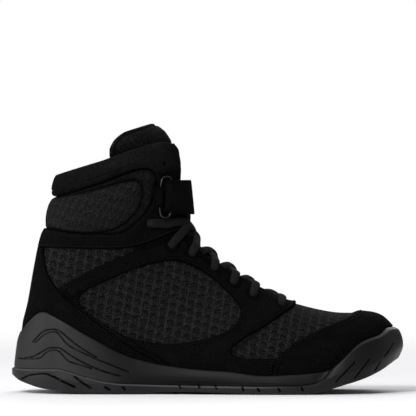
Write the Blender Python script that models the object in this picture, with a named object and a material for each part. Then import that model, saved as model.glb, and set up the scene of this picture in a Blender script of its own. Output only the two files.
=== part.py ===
"""Right boxing shoe: a high laced boot of suede over mesh, with an ankle strap, on a cupped rubber sole.

Frame: metres, +X to the toe, -Y to the outer side of the foot, +Z up, floor at z = 0.
Tables are in millimetres of a 298 x 205 x 100 shoe, x from the back of the heel, and scale with the driving sizes.
"""
import math
from collections import namedtuple

import bmesh
import bpy
import numpy as np

# Driving dimensions
SHOE_LENGTH = 0.298
SHOE_HEIGHT = 0.205
BALL_WIDTH = 0.100
WALL = 0.0022
GAP = 0.0003
OVERLAY = 0.0014
PAD_SWELL = 0.0050
CUFF_SWELL = 0.0039
CUFF_HEIGHT = 0.017
SOLE_FLARE = 0.0052
SOLE_LIP = 0.0021
WAVE_STEP = 0.0008
UNDER_BEVEL = 0.0016
TOE_BEVEL = 0.0050
LASTING_MARGIN = 0.014
INSOLE_THICKNESS = 0.0040
LACE_RADIUS = 0.0016
LACE_FLATTEN = 2.0
LACE_LIFT = 0.0040
LACE_REACH = 0.75
LACE_LOW = -0.0013
EYELET_RADIUS = 0.0021
STRAP_WIDTH = 0.0255
STRAP_THICKNESS = 0.0018
RING_WIRE = 0.0009
RING_HALF_HEIGHT = 0.0156
SLIT_WIDTH = 0.0016
SLIT_DEPTH = 0.0024

# Metres for each table millimetre
ALONG = SHOE_LENGTH / 298.0
UP = SHOE_HEIGHT / 205.0
ACROSS = BALL_WIDTH / 100.0
OUTER_SIDE = -1.0
INNER_SIDE = 1.0

# Sections of the last: each runs from a point on the sole or heel line to one on the top or front line.
# outer and inner are half widths from the shoe's mid line, ridge is where the top line lies across, widest is the
# share of the height with the full width, the rounds are corner exponents and gap is half the throat's width.
Section = namedtuple(
    "Section", "name sole_x sole_z top_x top_z outer inner ridge widest low_round top_round gap")
LAST = (
    Section("toe_tip", 292.8, 34.5, 293.6, 42.0, -2.0, 13.0, 7.5, 0.48, 2.2, 2.2, 3.0),
    Section("toe_front", 290.6, 28.5, 292.2, 47.6, 8.5, 21.0, 7.0, 0.45, 2.4, 2.2, 5.0),
    Section("toe_turn", 284.5, 23.7, 287.8, 52.8, 19.5, 29.0, 6.5, 0.42, 2.7, 2.2, 6.0),
    Section("toe", 275.3, 18.7, 279.5, 58.3, 30.0, 36.0, 5.5, 0.38, 3.2, 2.2, 7.0),
    Section("toe_cap", 262.3, 14.4, 266.9, 60.4, 38.0, 41.0, 4.5, 0.34, 3.8, 2.3, 8.0),
    Section("vamp", 239.2, 10.2, 246.1, 61.2, 44.5, 43.5, 3.5, 0.30, 4.4, 2.3, 9.0),
    Section("ball", 210.8, 8.0, 223.1, 66.0, 47.0, 43.5, 2.5, 0.27, 4.6, 2.3, 10.0),
    Section("throat", 185.5, 8.0, 205.4, 72.0, 46.5, 40.0, 2.0, 0.26, 4.6, 2.2, 11.0),
    Section("instep_low", 160.1, 9.2, 187.8, 81.8, 43.5, 36.0, 1.5, 0.25, 4.5, 2.1, 12.0),
    Section("instep_mid", 131.7, 10.8, 170.1, 93.4, 39.5, 33.0, 1.0, 0.25, 4.4, 2.05, 13.0),
    Section("instep_high", 97.2, 13.0, 154.8, 105.0, 36.5, 32.5, 0.5, 0.28, 4.0, 2.05, 14.0),
    Section("ankle_bend", 58.8, 17.0, 142.4, 116.6, 35.0, 33.5, 0.0, 0.34, 3.6, 2.15, 14.0),
    Section("heel_seat", 28.0, 20.2, 135.6, 127.3, 34.0, 34.0, 0.0, 0.42, 3.1, 2.3, 14.0),
    Section("heel_turn", 10.0, 24.0, 133.2, 135.0, 33.5, 33.5, 0.0, 0.45, 2.8, 2.4, 14.0),
    Section("heel_low", 5.8, 36.0, 131.7, 141.2, 33.5, 33.5, 0.0, 0.47, 2.5, 2.4, 14.0),
    Section("heel_back", 8.4, 51.0, 130.6, 147.3, 33.5, 33.5, 0.0, 0.50, 2.4, 2.4, 14.0),
    Section("counter", 12.9, 69.0, 130.0, 153.4, 33.5, 33.5, 0.0, 0.50, 2.35, 2.4, 14.0),
    Section("ankle", 17.9, 97.4, 129.8, 159.6, 34.0, 34.0, 0.0, 0.50, 2.3, 2.35, 14.0),
    Section("band", 22.8, 119.7, 129.8, 167.3, 35.5, 35.5, 0.0, 0.50, 2.2, 2.3, 14.0),
    Section("pad", 29.2, 131.0, 129.8, 173.0, 36.5, 36.5, 0.0, 0.50, 2.2, 2.3, 14.5),
    Section("cuff", 32.6, 147.3, 130.0, 181.8, 38.0, 38.0, 0.0, 0.50, 2.2, 2.3, 17.0),
    Section("collar", 34.0, 166.6, 130.4, 195.6, 39.5, 39.5, 0.0, 0.50, 2.2, 2.3, 31.5),
    Section("tongue_top", 35.7, 180.0, 109.0, 210.0, 34.0, 34.0, 0.0, 0.50, 2.2, 2.2, 31.5),
)
ROW = {row.name: index for index, row in enumerate(LAST)}
THROAT_START = ROW["ball"] + 0.5
STATIONS = np.concatenate((
    np.linspace(ROW["toe_tip"], ROW["toe_cap"], 7, endpoint=False),
    np.linspace(ROW["toe_cap"], THROAT_START, 4, endpoint=False),
    np.linspace(THROAT_START, ROW["heel_seat"], 7, endpoint=False),
    np.arange(ROW["heel_seat"], ROW["ankle"], 1.0),
    np.linspace(ROW["ankle"], ROW["collar"], 7),
))
BOTTOM_CELLS = 1
SIDE_CELLS = 7
TOP_CELLS = 1

# Lines of the sole in side view: under edge, joint of outsole and midsole, two wave steps and the top rim.
SoleLine = namedtuple("SoleLine", "x under joint wave_low wave_high rim")
SOLE = (
    SoleLine(0.0, 13.3, 17.0, 24.4, 37.0, 46.5),
    SoleLine(6.5, 9.1, 17.0, 25.3, 39.0, 53.6),
    SoleLine(15.0, 6.0, 17.0, 27.0, 42.0, 60.2),
    SoleLine(24.0, 4.0, 17.1, 32.0, 46.7, 61.3),
    SoleLine(33.5, 2.7, 17.4, 33.6, 47.0, 57.2),
    SoleLine(43.5, 1.2, 15.0, 27.5, 39.0, 51.3),
    SoleLine(54.0, 0.0, 11.4, 21.7, 31.0, 44.8),
    SoleLine(66.5, 0.0, 8.3, 17.3, 24.5, 38.2),
    SoleLine(80.0, 0.0, 6.4, 12.9, 18.6, 31.0),
    SoleLine(94.0, 0.0, 5.8, 10.2, 15.0, 25.6),
    SoleLine(112.5, 1.2, 5.2, 9.6, 14.6, 21.0),
    SoleLine(136.0, 1.6, 4.7, 9.0, 13.4, 17.9),
    SoleLine(166.0, 0.8, 4.4, 8.0, 11.8, 15.6),
    SoleLine(190.0, 0.0, 4.2, 7.0, 9.8, 12.7),
    SoleLine(221.0, 0.0, 4.8, 7.8, 10.8, 13.8),
    SoleLine(231.5, 1.2, 6.5, 8.6, 11.8, 15.0),
    SoleLine(238.0, 2.6, 10.5, 9.8, 13.0, 16.2),
    SoleLine(244.5, 4.6, 18.3, 11.0, 15.0, 19.3),
    SoleLine(251.5, 6.7, 32.0, 13.5, 19.5, 25.3),
    SoleLine(257.7, 8.5, 50.0, 16.5, 23.5, 31.2),
    SoleLine(264.6, 10.6, 60.0, 19.5, 28.0, 36.9),
    SoleLine(273.8, 14.0, 60.0, 23.5, 32.5, 41.0),
    SoleLine(283.0, 18.0, 60.0, 27.5, 36.0, 44.2),
    SoleLine(292.0, 22.6, 60.0, 31.5, 39.5, 49.4),
    SoleLine(298.0, 25.0, 60.0, 33.5, 41.0, 49.6),
)
WAVE_FADE_START = 70.0
WAVE_FADE_END = 105.0
HEEL_CENTRE = (34.0, 0.0)
TOE_CENTRE = (250.0, 5.5)
HEEL_SPOKES = 7
SIDE_SPOKES = 14
TOE_SPOKES = 7
SEAT_RISE = 9.0
SLITS = (45.0, 57.0, 70.5, 84.5, 128.0, 142.5, 155.0, 176.0, 187.0, 197.5, 212.0, 221.5)

# Tongue: turn round from its middle in degrees, thickness, and lean back from the front line, by section.
TongueRow = namedtuple("TongueRow", "section wrap thickness lean")
TONGUE = (
    TongueRow(6.0, 18.0, 3.0, 1.3),
    TongueRow(7.0, 23.0, 4.0, 1.3),
    TongueRow(9.0, 33.0, 5.0, 1.6),
    TongueRow(11.0, 42.0, 5.5, 1.6),
    TongueRow(14.0, 48.0, 6.0, 1.5),
    TongueRow(17.0, 58.0, 6.5, 1.0),
    TongueRow(19.0, 78.0, 7.0, 0.9),
    TongueRow(20.0, 90.0, 7.5, 1.2),
    TongueRow(20.6, 96.0, 8.0, 3.5),
    TongueRow(21.0, 98.0, 8.0, 6.0),
    TongueRow(21.5, 97.0, 7.5, 4.0),
    TongueRow(22.0, 88.0, 4.0, 2.0),
)
TONGUE_CELLS = 8

# Side-view outlines of the overlays, as strokes that are smooth inside and meet at corners.
TOE_GUARD = (
    ((269.5, 75.0), (269.0, 62.5), (260.0, 56.8), (248.0, 52.0), (235.0, 47.0), (223.0, 41.5),
     (213.0, 35.5), (207.0, 30.5), (202.0, 26.0)),
    ((202.0, 26.0), (199.5, 18.0), (197.5, 6.0), (197.0, -6.0)),
    ((197.0, -6.0), (310.0, -6.0)),
    ((310.0, -6.0), (310.0, 75.0)),
    ((310.0, 75.0), (269.5, 75.0)),
)
HEEL_FOXING = (
    ((-8.0, 109.5), (16.0, 109.5), (21.5, 107.0)),
    ((21.5, 107.0), (22.5, 99.0), (26.5, 88.5), (33.5, 78.5), (41.0, 71.0), (52.0, 62.0), (66.0, 51.0),
     (80.0, 41.0), (93.0, 32.0), (108.0, 24.0), (122.0, 14.0), (130.0, 0.0)),
    ((130.0, 0.0), (-8.0, 0.0)),
    ((-8.0, 0.0), (-8.0, 109.5)),
)
COLLAR_FRAME = (
    ((-8.0, 110.5), (22.5, 110.5), (55.0, 109.8), (80.0, 109.8), (95.0, 112.0), (106.0, 115.5), (115.0, 119.0),
     (123.0, 122.3), (133.0, 124.0), (160.0, 125.0)),
    ((160.0, 125.0), (160.0, 230.0)),
    ((160.0, 230.0), (-8.0, 230.0)),
    ((-8.0, 230.0), (-8.0, 110.5)),
)
PAD_WINDOW = (
    ((0.0, 125.5), (27.0, 125.5), (35.0, 121.5), (47.0, 118.0), (62.0, 116.8), (75.0, 117.5), (87.0, 122.5),
     (97.0, 133.0), (103.5, 147.0), (106.0, 159.0), (104.0, 168.0), (97.5, 170.5), (84.0, 165.0), (66.0, 157.5),
     (48.0, 152.0), (30.0, 149.0), (0.0, 149.0)),
    ((0.0, 149.0), (0.0, 125.5)),
)
SADDLE = (
    ((222.0, 80.0), (217.5, 66.5), (208.5, 60.0), (198.5, 53.5), (187.0, 46.5), (176.0, 40.0), (169.5, 35.0),
     (167.2, 31.5), (169.5, 28.0), (176.0, 25.6), (190.0, 25.4), (202.0, 25.6)),
    ((202.0, 25.6), (202.0, -4.0)),
    ((202.0, -4.0), (-8.0, -4.0)),
    ((-8.0, -4.0), (-8.0, 125.0)),
    ((-8.0, 125.0), (160.0, 140.0)),
    ((160.0, 140.0), (222.0, 80.0)),
)
QUARTER_WINDOW = (
    ((52.5, 76.0), (60.0, 80.5), (70.5, 85.0), (83.0, 90.5), (96.0, 95.5), (113.0, 99.6), (126.0, 100.0),
     (140.0, 94.5), (155.0, 84.5), (168.0, 72.0), (174.0, 63.0), (171.5, 53.0), (162.0, 45.5), (144.0, 39.5),
     (121.0, 36.4), (100.0, 38.5), (87.0, 42.0), (74.0, 48.5), (62.0, 57.0), (52.0, 65.5), (50.0, 70.5)),
    ((50.0, 70.5), (52.5, 76.0)),
)
HEEL_WINDOW = (
    ((0.0, 111.5), (22.0, 111.5), (40.0, 110.8), (60.0, 110.4), (80.0, 110.4), (96.0, 112.4)),
    ((96.0, 112.4), (90.0, 107.0), (80.0, 102.5), (68.0, 97.5), (53.5, 90.5), (40.0, 83.0), (31.0, 77.0)),
    ((31.0, 77.0), (0.0, 77.0)),
    ((0.0, 77.0), (0.0, 111.5)),
)

# Eyelets in side view, from the toe up.
Eyelet = namedtuple("Eyelet", "x z")
EYELETS = (
    Eyelet(205.4, 66.6), Eyelet(183.6, 74.3), Eyelet(168.6, 83.6), Eyelet(153.7, 94.3),
    Eyelet(136.3, 105.8), Eyelet(121.4, 112.7), Eyelet(104.0, 129.6),
)

# Ankle strap and its ring, in side view.
RING_BACK = 111.0
RING_FRONT = 120.5
STRAP_MIDDLE = 149.5
STRAP_SLOPE = 0.10
SHAFT_BACK = 84.0
ANCHOR_SHIFT = 0.000
END_SHORT = 0.006
TAB_LENGTH = 0.0045
TAB_WIDTH = 0.016
TAB_THICKNESS = 0.0011

# Colours
RUBBER = (0.045, 0.045, 0.047)
RUBBER_DARK = (0.022, 0.022, 0.023)
SUEDE = (0.012, 0.012, 0.012)
MESH = (0.022, 0.022, 0.022)
LINING = (0.018, 0.018, 0.018)
CORD = (0.024, 0.024, 0.024)
WIRE = (0.03, 0.03, 0.032)


# Smooth curve through the rows of a table at fractional row numbers
def rows_at(values, position):
    values = np.asarray(values, dtype=float)
    position = np.clip(np.atleast_1d(position), 0.0, len(values) - 1.0)
    start = np.minimum(position.astype(int), len(values) - 2)
    share = (position - start)[:, None]
    before = values[np.maximum(start - 1, 0)]
    here = values[start]
    there = values[start + 1]
    after = values[np.minimum(start + 2, len(values) - 1)]
    lean_here = (there - before) / 2.0
    lean_there = (after - here) / 2.0
    square = share * share
    cube = square * share
    return ((2 * cube - 3 * square + 1) * here + (cube - 2 * square + share) * lean_here
            + (3 * square - 2 * cube) * there + (cube - square) * lean_there)


# Sections of the last in metres at fractional row numbers
def sections_at(position):
    numbers = np.array([row[1:] for row in LAST])
    scale = np.array((ALONG, UP, ALONG, UP, ACROSS, ACROSS, ACROSS, 1.0, 1.0, 1.0, ACROSS))
    return rows_at(numbers, position) * scale


# Points of one section at angles from 0 under the sole to pi on the top line
def section_points(section, angle, side):
    sole_x, sole_z, top_x, top_z, outer, inner, ridge, widest, low_round, top_round, gap = section
    half = outer + ridge if side == OUTER_SIDE else inner - ridge
    low = angle <= math.pi / 2
    power = np.where(low, low_round, top_round)
    across = np.maximum(np.sin(angle), 0.0) ** (2.0 / power)
    along = np.abs(np.cos(angle)) ** (2.0 / power)
    share = np.where(low, widest * (1.0 - along), widest + (1.0 - widest) * along)
    return np.stack((sole_x + (top_x - sole_x) * share,
                     ridge + side * half * across,
                     sole_z + (top_z - sole_z) * share), axis=-1)


# Angle on the upper or lower part of a section where it is a given distance from the ridge
def angle_at_distance(section, distance, side, upper_part):
    outer, inner, ridge = section[4:7]
    half = outer + ridge if side == OUTER_SIDE else inner - ridge
    power = section[9] if upper_part else section[8]
    angle = math.asin(min(max(distance / half, 0.02), 0.98) ** (power / 2.0))
    return math.pi - angle if upper_part else angle


# Angles between two limits, even along the section's own length
def even_angles(section, side, first, last, cells):
    fine = np.linspace(first, last, 60)
    points = section_points(section, fine, side)
    run = np.concatenate(((0.0,), np.cumsum(np.linalg.norm(np.diff(points, axis=0), axis=1))))
    return np.interp(np.linspace(0.0, run[-1], cells + 1), run, fine)


# Half a section from sole to top, with lines at the lasting margin and at the throat's edge
def half_ring(section, side):
    outer, inner, ridge = section[4:7]
    half = outer + ridge if side == OUTER_SIDE else inner - ridge
    margin = angle_at_distance(section, max(half - LASTING_MARGIN, 0.4 * half), side, False)
    throat = angle_at_distance(section, section[10], side, True)
    angles = np.concatenate((even_angles(section, side, 0.0, margin, BOTTOM_CELLS)[:-1],
                             even_angles(section, side, margin, throat, SIDE_CELLS)[:-1],
                             even_angles(section, side, throat, math.pi, TOP_CELLS)))
    return section_points(section, angles, side)


# Rings of points at the stations, going up the outer side and down the inner side
def last_rings(stations):
    rings = []
    for section in sections_at(stations):
        outer = half_ring(section, OUTER_SIDE)
        inner = half_ring(section, INNER_SIDE)
        rings.append(np.concatenate((outer, inner[-2:0:-1])))
    return np.array(rings)


# Outward directions of a grid of rings
def ring_normals(rings):
    around = np.roll(rings, -1, axis=1) - np.roll(rings, 1, axis=1)
    along = np.gradient(rings, axis=0)
    normal = np.cross(around, along)
    return normal / np.linalg.norm(normal, axis=2, keepdims=True)


BASE_RINGS = last_rings(STATIONS)
BASE_NORMALS = ring_normals(BASE_RINGS)
RING_COUNT = BASE_RINGS.shape[1]
HALF_COUNT = BOTTOM_CELLS + SIDE_CELLS + TOP_CELLS


# The last's own surface, moved out by a distance or a grid of distances
def skin(distance):
    return BASE_RINGS + BASE_NORMALS * np.broadcast_to(distance, BASE_RINGS.shape[:2])[:, :, None]


# Closed outline from smooth strokes
def outline(strokes, grow=0.0, steps=1):
    points = []
    for stroke in strokes:
        count = (len(stroke) - 1) * (steps if len(stroke) > 2 else 1)
        points.extend(rows_at(stroke, np.linspace(0.0, len(stroke) - 1.0, count + 1))[:-1])
    points = np.array(points) * (ALONG, UP)
    if grow:
        edge = np.roll(points, -1, axis=0) - points
        edge /= np.linalg.norm(edge, axis=1, keepdims=True)
        out = np.stack((edge[:, 1], -edge[:, 0]), axis=1) * signed_turn(points)
        corner = out + np.roll(out, 1, axis=0)
        corner /= np.maximum((corner * corner).sum(axis=1, keepdims=True) / 2.0, 0.4)
        points = points + corner * grow
    return points


# One for an outline that turns left, minus one for one that turns right
def signed_turn(points):
    ahead = np.roll(points, -1, axis=0)
    return math.copysign(1.0, (points[:, 0] * ahead[:, 1] - ahead[:, 0] * points[:, 1]).sum())


# Distance inside an outline, negative outside, for points in side view
def depth_inside(points, border):
    ahead = np.roll(border, -1, axis=0)
    edge = ahead - border
    offset = points[:, None, :] - border[None, :, :]
    share = np.clip((offset * edge).sum(axis=2) / (edge * edge).sum(axis=1), 0.0, 1.0)
    near = np.linalg.norm(offset - share[:, :, None] * edge, axis=2).min(axis=1)
    crosses = (border[None, :, 1] > points[:, None, 1]) != (ahead[None, :, 1] > points[:, None, 1])
    level = np.where(edge[:, 1] == 0.0, 1.0, edge[:, 1])
    reach = border[:, 0] + (points[:, None, 1] - border[None, :, 1]) * edge[:, 0] / level
    inside = (crosses & (points[:, None, 0] < reach)).sum(axis=1) % 2 == 1
    return np.where(inside, near, -near)


# Height of a soft swelling inside an outline, rising over a given width from its edge
def swelling(border, height, rise):
    flat = BASE_RINGS[:, :, (0, 2)].reshape(-1, 2)
    share = np.clip(depth_inside(flat, border) / rise, 0.0, 1.0)
    return (height * np.sqrt(1.0 - (1.0 - share) ** 2)).reshape(BASE_RINGS.shape[:2])


# Material of one plain colour
def finish(name, colour, roughness, metallic=0.0):
    material = bpy.data.materials.new(name)
    material.use_nodes = True
    shader = material.node_tree.nodes["Principled BSDF"]
    shader.inputs["Base Color"].default_value = (*colour, 1.0)
    shader.inputs["Roughness"].default_value = roughness
    shader.inputs["Metallic"].default_value = metallic
    return material


# Object from points and faces, with its faces turned outward and the shoe's box centred over the origin
def make_object(name, points, faces, material=None, crease=40.0):
    mesh = bpy.data.meshes.new(name)
    mesh.from_pydata([tuple(point) for point in np.asarray(points) - MIDDLE], [], faces)
    work = bmesh.new()
    work.from_mesh(mesh)
    bmesh.ops.recalc_face_normals(work, faces=work.faces)
    work.to_mesh(mesh)
    work.free()
    thing = bpy.data.objects.new(name, mesh)
    bpy.context.collection.objects.link(thing)
    if material is not None:
        mesh.materials.append(material)
        mesh.shade_smooth()
        mesh.set_sharp_from_angle(angle=math.radians(crease))
    else:
        thing.hide_render = True
        thing.display_type = "WIRE"
    return thing


# Boolean modifier of one object by another
def combine(thing, other, operation):
    modifier = thing.modifiers.new(f"{operation.lower()}_{other.name}", "BOOLEAN")
    modifier.operation = operation
    modifier.solver = "EXACT"
    modifier.object = other


# Solid prism of a side-view outline, through the whole width of the shoe
def prism(name, border):
    count = len(border)
    reach = BALL_WIDTH
    points = [(x, -reach, z) for x, z in border] + [(x, reach, z) for x, z in border]
    faces = [tuple(range(count)), tuple(range(2 * count - 1, count - 1, -1))]
    for index in range(count):
        ahead = (index + 1) % count
        faces.append((index, ahead, count + ahead, count + index))
    return make_object(name, points, faces)


# Cells of the last's grid that the upper covers
def upper_cells():
    cells = []
    for station in range(len(STATIONS) - 1):
        in_throat = STATIONS[station] >= THROAT_START - 0.01
        in_opening = ROW["toe"] <= STATIONS[station] < ROW["heel_seat"]
        for place in range(RING_COUNT):
            up = place if place < HALF_COUNT else RING_COUNT - 1 - place
            if in_throat and up >= HALF_COUNT - TOP_CELLS:
                continue
            if in_opening and up < BOTTOM_CELLS:
                continue
            cells.append((station, place))
    return cells


# Faces of grid cells, each cut along the same diagonal so that skins of every distance stay parallel
def cell_faces(cells):
    faces = []
    for station, place in cells:
        here = station * RING_COUNT + place
        beside = station * RING_COUNT + (place + 1) % RING_COUNT
        if place < HALF_COUNT:
            faces.append((here, beside, beside + RING_COUNT))
            faces.append((here, beside + RING_COUNT, here + RING_COUNT))
        else:
            faces.append((here, beside, here + RING_COUNT))
            faces.append((beside, beside + RING_COUNT, here + RING_COUNT))
    return faces


# Strip of faces that closes one ring from its bottom to its top
def ring_cap(first):
    faces = [(first, first + 1, first + RING_COUNT - 1)]
    for step in range(1, HALF_COUNT - 1):
        faces.append((first + step, first + step + 1, first + RING_COUNT - step - 1, first + RING_COUNT - step))
    faces.append((first + HALF_COUNT - 1, first + HALF_COUNT, first + HALF_COUNT + 1))
    return faces


# Solid wall between two skins over the upper's cells
def shell(name, outside, inside, material, crease=40.0):
    outside = outside.reshape(-1, 3)
    inside = inside.reshape(-1, 3)
    count = len(outside)
    faces = cell_faces(upper_cells()) + ring_cap(0)
    edges = {}
    for face in faces:
        for first, second in zip(face, face[1:] + face[:1]):
            key = (min(first, second), max(first, second))
            edges.setdefault(key, []).append((first, second))
    rims = [pair[0] for pair in edges.values() if len(pair) == 1]
    solid = list(faces)
    solid.extend(tuple(count + corner for corner in reversed(face)) for face in faces)
    solid.extend((second, first, count + first, count + second) for first, second in rims)
    used = sorted({corner for face in solid for corner in face})
    renumber = {old: new for new, old in enumerate(used)}
    points = np.concatenate((outside, inside))[used]
    return make_object(name, points, [tuple(renumber[corner] for corner in face) for face in solid],
                       material, crease)


# Closed solid of the whole last, moved out by a distance
def last_form(name, distance, material=None):
    points = skin(distance).reshape(-1, 3)
    faces = cell_faces((station, place) for station in range(len(STATIONS) - 1) for place in range(RING_COUNT))
    faces.extend(ring_cap(0))
    faces.extend(ring_cap((len(STATIONS) - 1) * RING_COUNT))
    return make_object(name, points, faces, material)


# Dense fan of section lines, for finding the section that passes through a point in side view
FAN_POSITIONS = np.linspace(0.0, ROW["tongue_top"], 441)
FAN = sections_at(FAN_POSITIONS)


# Section and share of its height at a point in side view, or None outside the fan
def fan_place(x, z):
    run = FAN[:, 2] - FAN[:, 0]
    rise = FAN[:, 3] - FAN[:, 1]
    behind = run * (z - FAN[:, 1]) - rise * (x - FAN[:, 0])
    turns = np.nonzero((behind[:-1] > 0.0) & (behind[1:] <= 0.0))[0]
    if len(turns) == 0:
        return None
    first = turns[0]
    share = behind[first] / (behind[first] - behind[first + 1])
    section = FAN[first] + (FAN[first + 1] - FAN[first]) * share
    length = (section[2] - section[0]) ** 2 + (section[3] - section[1]) ** 2
    height = ((x - section[0]) * (section[2] - section[0]) + (z - section[1]) * (section[3] - section[1])) / length
    if not 0.0 <= height <= 1.0:
        return None
    return FAN_POSITIONS[first] + share * (FAN_POSITIONS[1] - FAN_POSITIONS[0]), section, height


# Limits across the last at a point in side view
def width_at(x, z):
    place = fan_place(x, z)
    if place is None:
        return None
    position, section, height = place
    widest = section[7]
    if height < widest:
        across = (1.0 - ((widest - height) / widest) ** section[8]) ** (1.0 / section[8])
    else:
        across = (1.0 - ((height - widest) / (1.0 - widest)) ** section[9]) ** (1.0 / section[9])
    ridge = section[6]
    return ridge - (section[4] + ridge) * across, ridge + (section[5] - ridge) * across


# Furthest limits across the last over a span of heights
def span_width(x, z, half):
    limits = [width_at(x, z + share * half) for share in (-1.0, -0.5, 0.0, 0.5, 1.0)]
    limits = [pair for pair in limits if pair is not None]
    return min(pair[0] for pair in limits), max(pair[1] for pair in limits)


# Row number and angle of the last's surface at a point in side view
def surface_place(x, z):
    position, section, height = fan_place(x, z)
    widest = section[7]
    if height < widest:
        return position, math.acos(((widest - height) / widest) ** (section[8] / 2.0))
    return position, math.pi - math.acos(((height - widest) / (1.0 - widest)) ** (section[9] / 2.0))


# Point and outward direction of the last's surface
def surface_point(position, angle, side):
    step = 0.02
    section = sections_at(position)[0]
    here = section_points(section, np.array((angle - step, angle, angle + step)), side)
    fore = section_points(sections_at(position - step)[0], np.array((angle,)), side)[0]
    back = section_points(sections_at(position + step)[0], np.array((angle,)), side)[0]
    normal = np.cross(back - fore, here[2] - here[0]) * side
    return here[1], normal / np.linalg.norm(normal)


# Distance from a plan point along a direction to the last's surface at one height
def reach_to_last(origin, direction, z):
    near = 0.0
    far = 0.08
    for turn in range(18):
        middle = (near + far) / 2.0
        x = origin[0] + direction[0] * middle
        y = origin[1] + direction[1] * middle
        limits = width_at(x, z)
        if limits is not None and limits[0] < y < limits[1]:
            near = middle
        else:
            far = middle
    return near


# Plan rays of one side of the sole, from the middle of the heel's back to the middle of the toe
def sole_rays(side):
    heel = np.array(HEEL_CENTRE) * (ALONG, ACROSS)
    toe = np.array(TOE_CENTRE) * (ALONG, ACROSS)
    rays = []
    for turn in np.linspace(0.0, math.pi / 2, HEEL_SPOKES, endpoint=False):
        rays.append((heel, (-math.cos(turn), side * math.sin(turn))))
    for share in np.linspace(0.0, 1.0, SIDE_SPOKES, endpoint=False):
        rays.append((heel + (toe - heel) * share, (0.0, side)))
    for turn in np.linspace(math.pi / 2, 0.0, TOE_SPOKES + 1):
        rays.append((toe, (math.cos(turn), side * math.sin(turn))))
    return rays


# Sole heights at a distance from the heel, as one row of the table
def sole_line(x):
    table = np.array(SOLE)
    return SoleLine(x, *(np.interp(x / ALONG, table[:, 0], column) * UP for column in table.T[1:]))


# Stack of rings up the outside of the sole on one side, or of a wider block up to just above its rim
def sole_side(side, grow=0.0):
    stack = []
    for origin, direction in sole_rays(side):
        low_reach = max(reach_to_last(origin, direction, height * UP) for height in (18.0, 22.0, 28.0, 34.0))
        x = origin[0] + direction[0] * (low_reach + SOLE_FLARE)
        line = sole_line(x)
        fade = np.clip((WAVE_FADE_END - x / ALONG) / (WAVE_FADE_END - WAVE_FADE_START), 0.0, 1.0)
        seat = line.under + SEAT_RISE * UP
        toe_bevel = TOE_BEVEL * np.clip((x / ALONG - 268.0) / 28.0, 0.0, 1.0)
        levels = (
            (line.under, -UNDER_BEVEL - toe_bevel), (line.under + 0.0018, -toe_bevel / 3.0),
            (line.wave_low - 0.0005, WAVE_STEP * fade), (line.wave_low + 0.0005, 0.0),
            (line.wave_high - 0.0005, WAVE_STEP * fade), (line.wave_high + 0.0005, 0.0),
            (line.rim, 0.0),
        )
        if grow:
            cut_rim = line.rim + 2.0 * GAP
            levels = ((line.under, grow), (cut_rim, grow), (cut_rim, 0.0))
        column = []
        for z, step in levels:
            share = np.clip((z - seat) / (line.rim - seat), 0.0, 1.0)
            wall = SOLE_FLARE + (SOLE_LIP - SOLE_FLARE) * share + step
            reach = low_reach
            if z > seat:
                reach = reach_to_last(origin, direction, z) * share ** 0.5 + low_reach * (1.0 - share ** 0.5)
            spread = reach + wall
            column.append((origin[0] + direction[0] * spread, origin[1] + direction[1] * spread, z))
        stack.append(column)
    return np.array(stack)


SOLE_POINTS = np.concatenate((sole_side(OUTER_SIDE), sole_side(INNER_SIDE))).reshape(-1, 3)
MIDDLE = (SOLE_POINTS.min(axis=0) + SOLE_POINTS.max(axis=0)) * (0.5, 0.5, 0.0)


# Outer block of the whole sole, before it is split and hollowed
def sole_block(name, material, grow=0.0):
    outer = sole_side(OUTER_SIDE, grow)
    inner = sole_side(INNER_SIDE, grow)
    loop = np.concatenate((outer, inner[-2:0:-1]))
    count = len(loop)
    levels = loop.shape[1]
    points = loop.transpose(1, 0, 2).reshape(-1, 3)
    faces = []
    for level in range(levels - 1):
        for place in range(count):
            ahead = (place + 1) % count
            faces.append((level * count + place, level * count + ahead,
                          (level + 1) * count + ahead, (level + 1) * count + place))
    half = len(outer) - 1
    for first in (0, (levels - 1) * count):
        faces.append((first, first + 1, first + count - 1))
        for step in range(1, half - 1):
            faces.append((first + step, first + step + 1, first + count - step - 1, first + count - step))
        faces.append((first + half - 1, first + half, first + half + 1))
    return make_object(name, points, faces, material, 30.0)


# Side-view region above or below the joint of outsole and midsole
def joint_region(above):
    table = np.array(SOLE)
    border = [(-20.0, table[0, 2])] + [(row.x, row.joint) for row in SOLE] + [(320.0, table[-1, 2])]
    border = np.array(border) * (ALONG, UP)
    if above:
        far = [(320.0 * ALONG, 120.0 * UP), (-20.0 * ALONG, 120.0 * UP)]
    else:
        border = border + (-0.5 * GAP, GAP)
        far = [(320.0 * ALONG, -20.0 * UP), (-20.0 * ALONG, -20.0 * UP)]
    return np.concatenate((border, far))


# Thin boxes across the tread
def tread_slits():
    points = []
    faces = []
    for place in SLITS:
        x = place * ALONG
        ground = sole_line(x).under
        first = len(points)
        for y in (-BALL_WIDTH, BALL_WIDTH):
            for dx, z in ((-1.0, -0.01), (1.0, -0.01), (0.7, ground + SLIT_DEPTH), (-0.7, ground + SLIT_DEPTH)):
                points.append((x + dx * SLIT_WIDTH / 2.0, y, z))
        faces.extend(((first, first + 1, first + 2, first + 3), (first + 7, first + 6, first + 5, first + 4)))
        for step in range(4):
            ahead = (step + 1) % 4
            faces.append((first + step, first + 4 + step, first + 4 + ahead, first + ahead))
    return make_object("tread_slits", points, faces)


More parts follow.
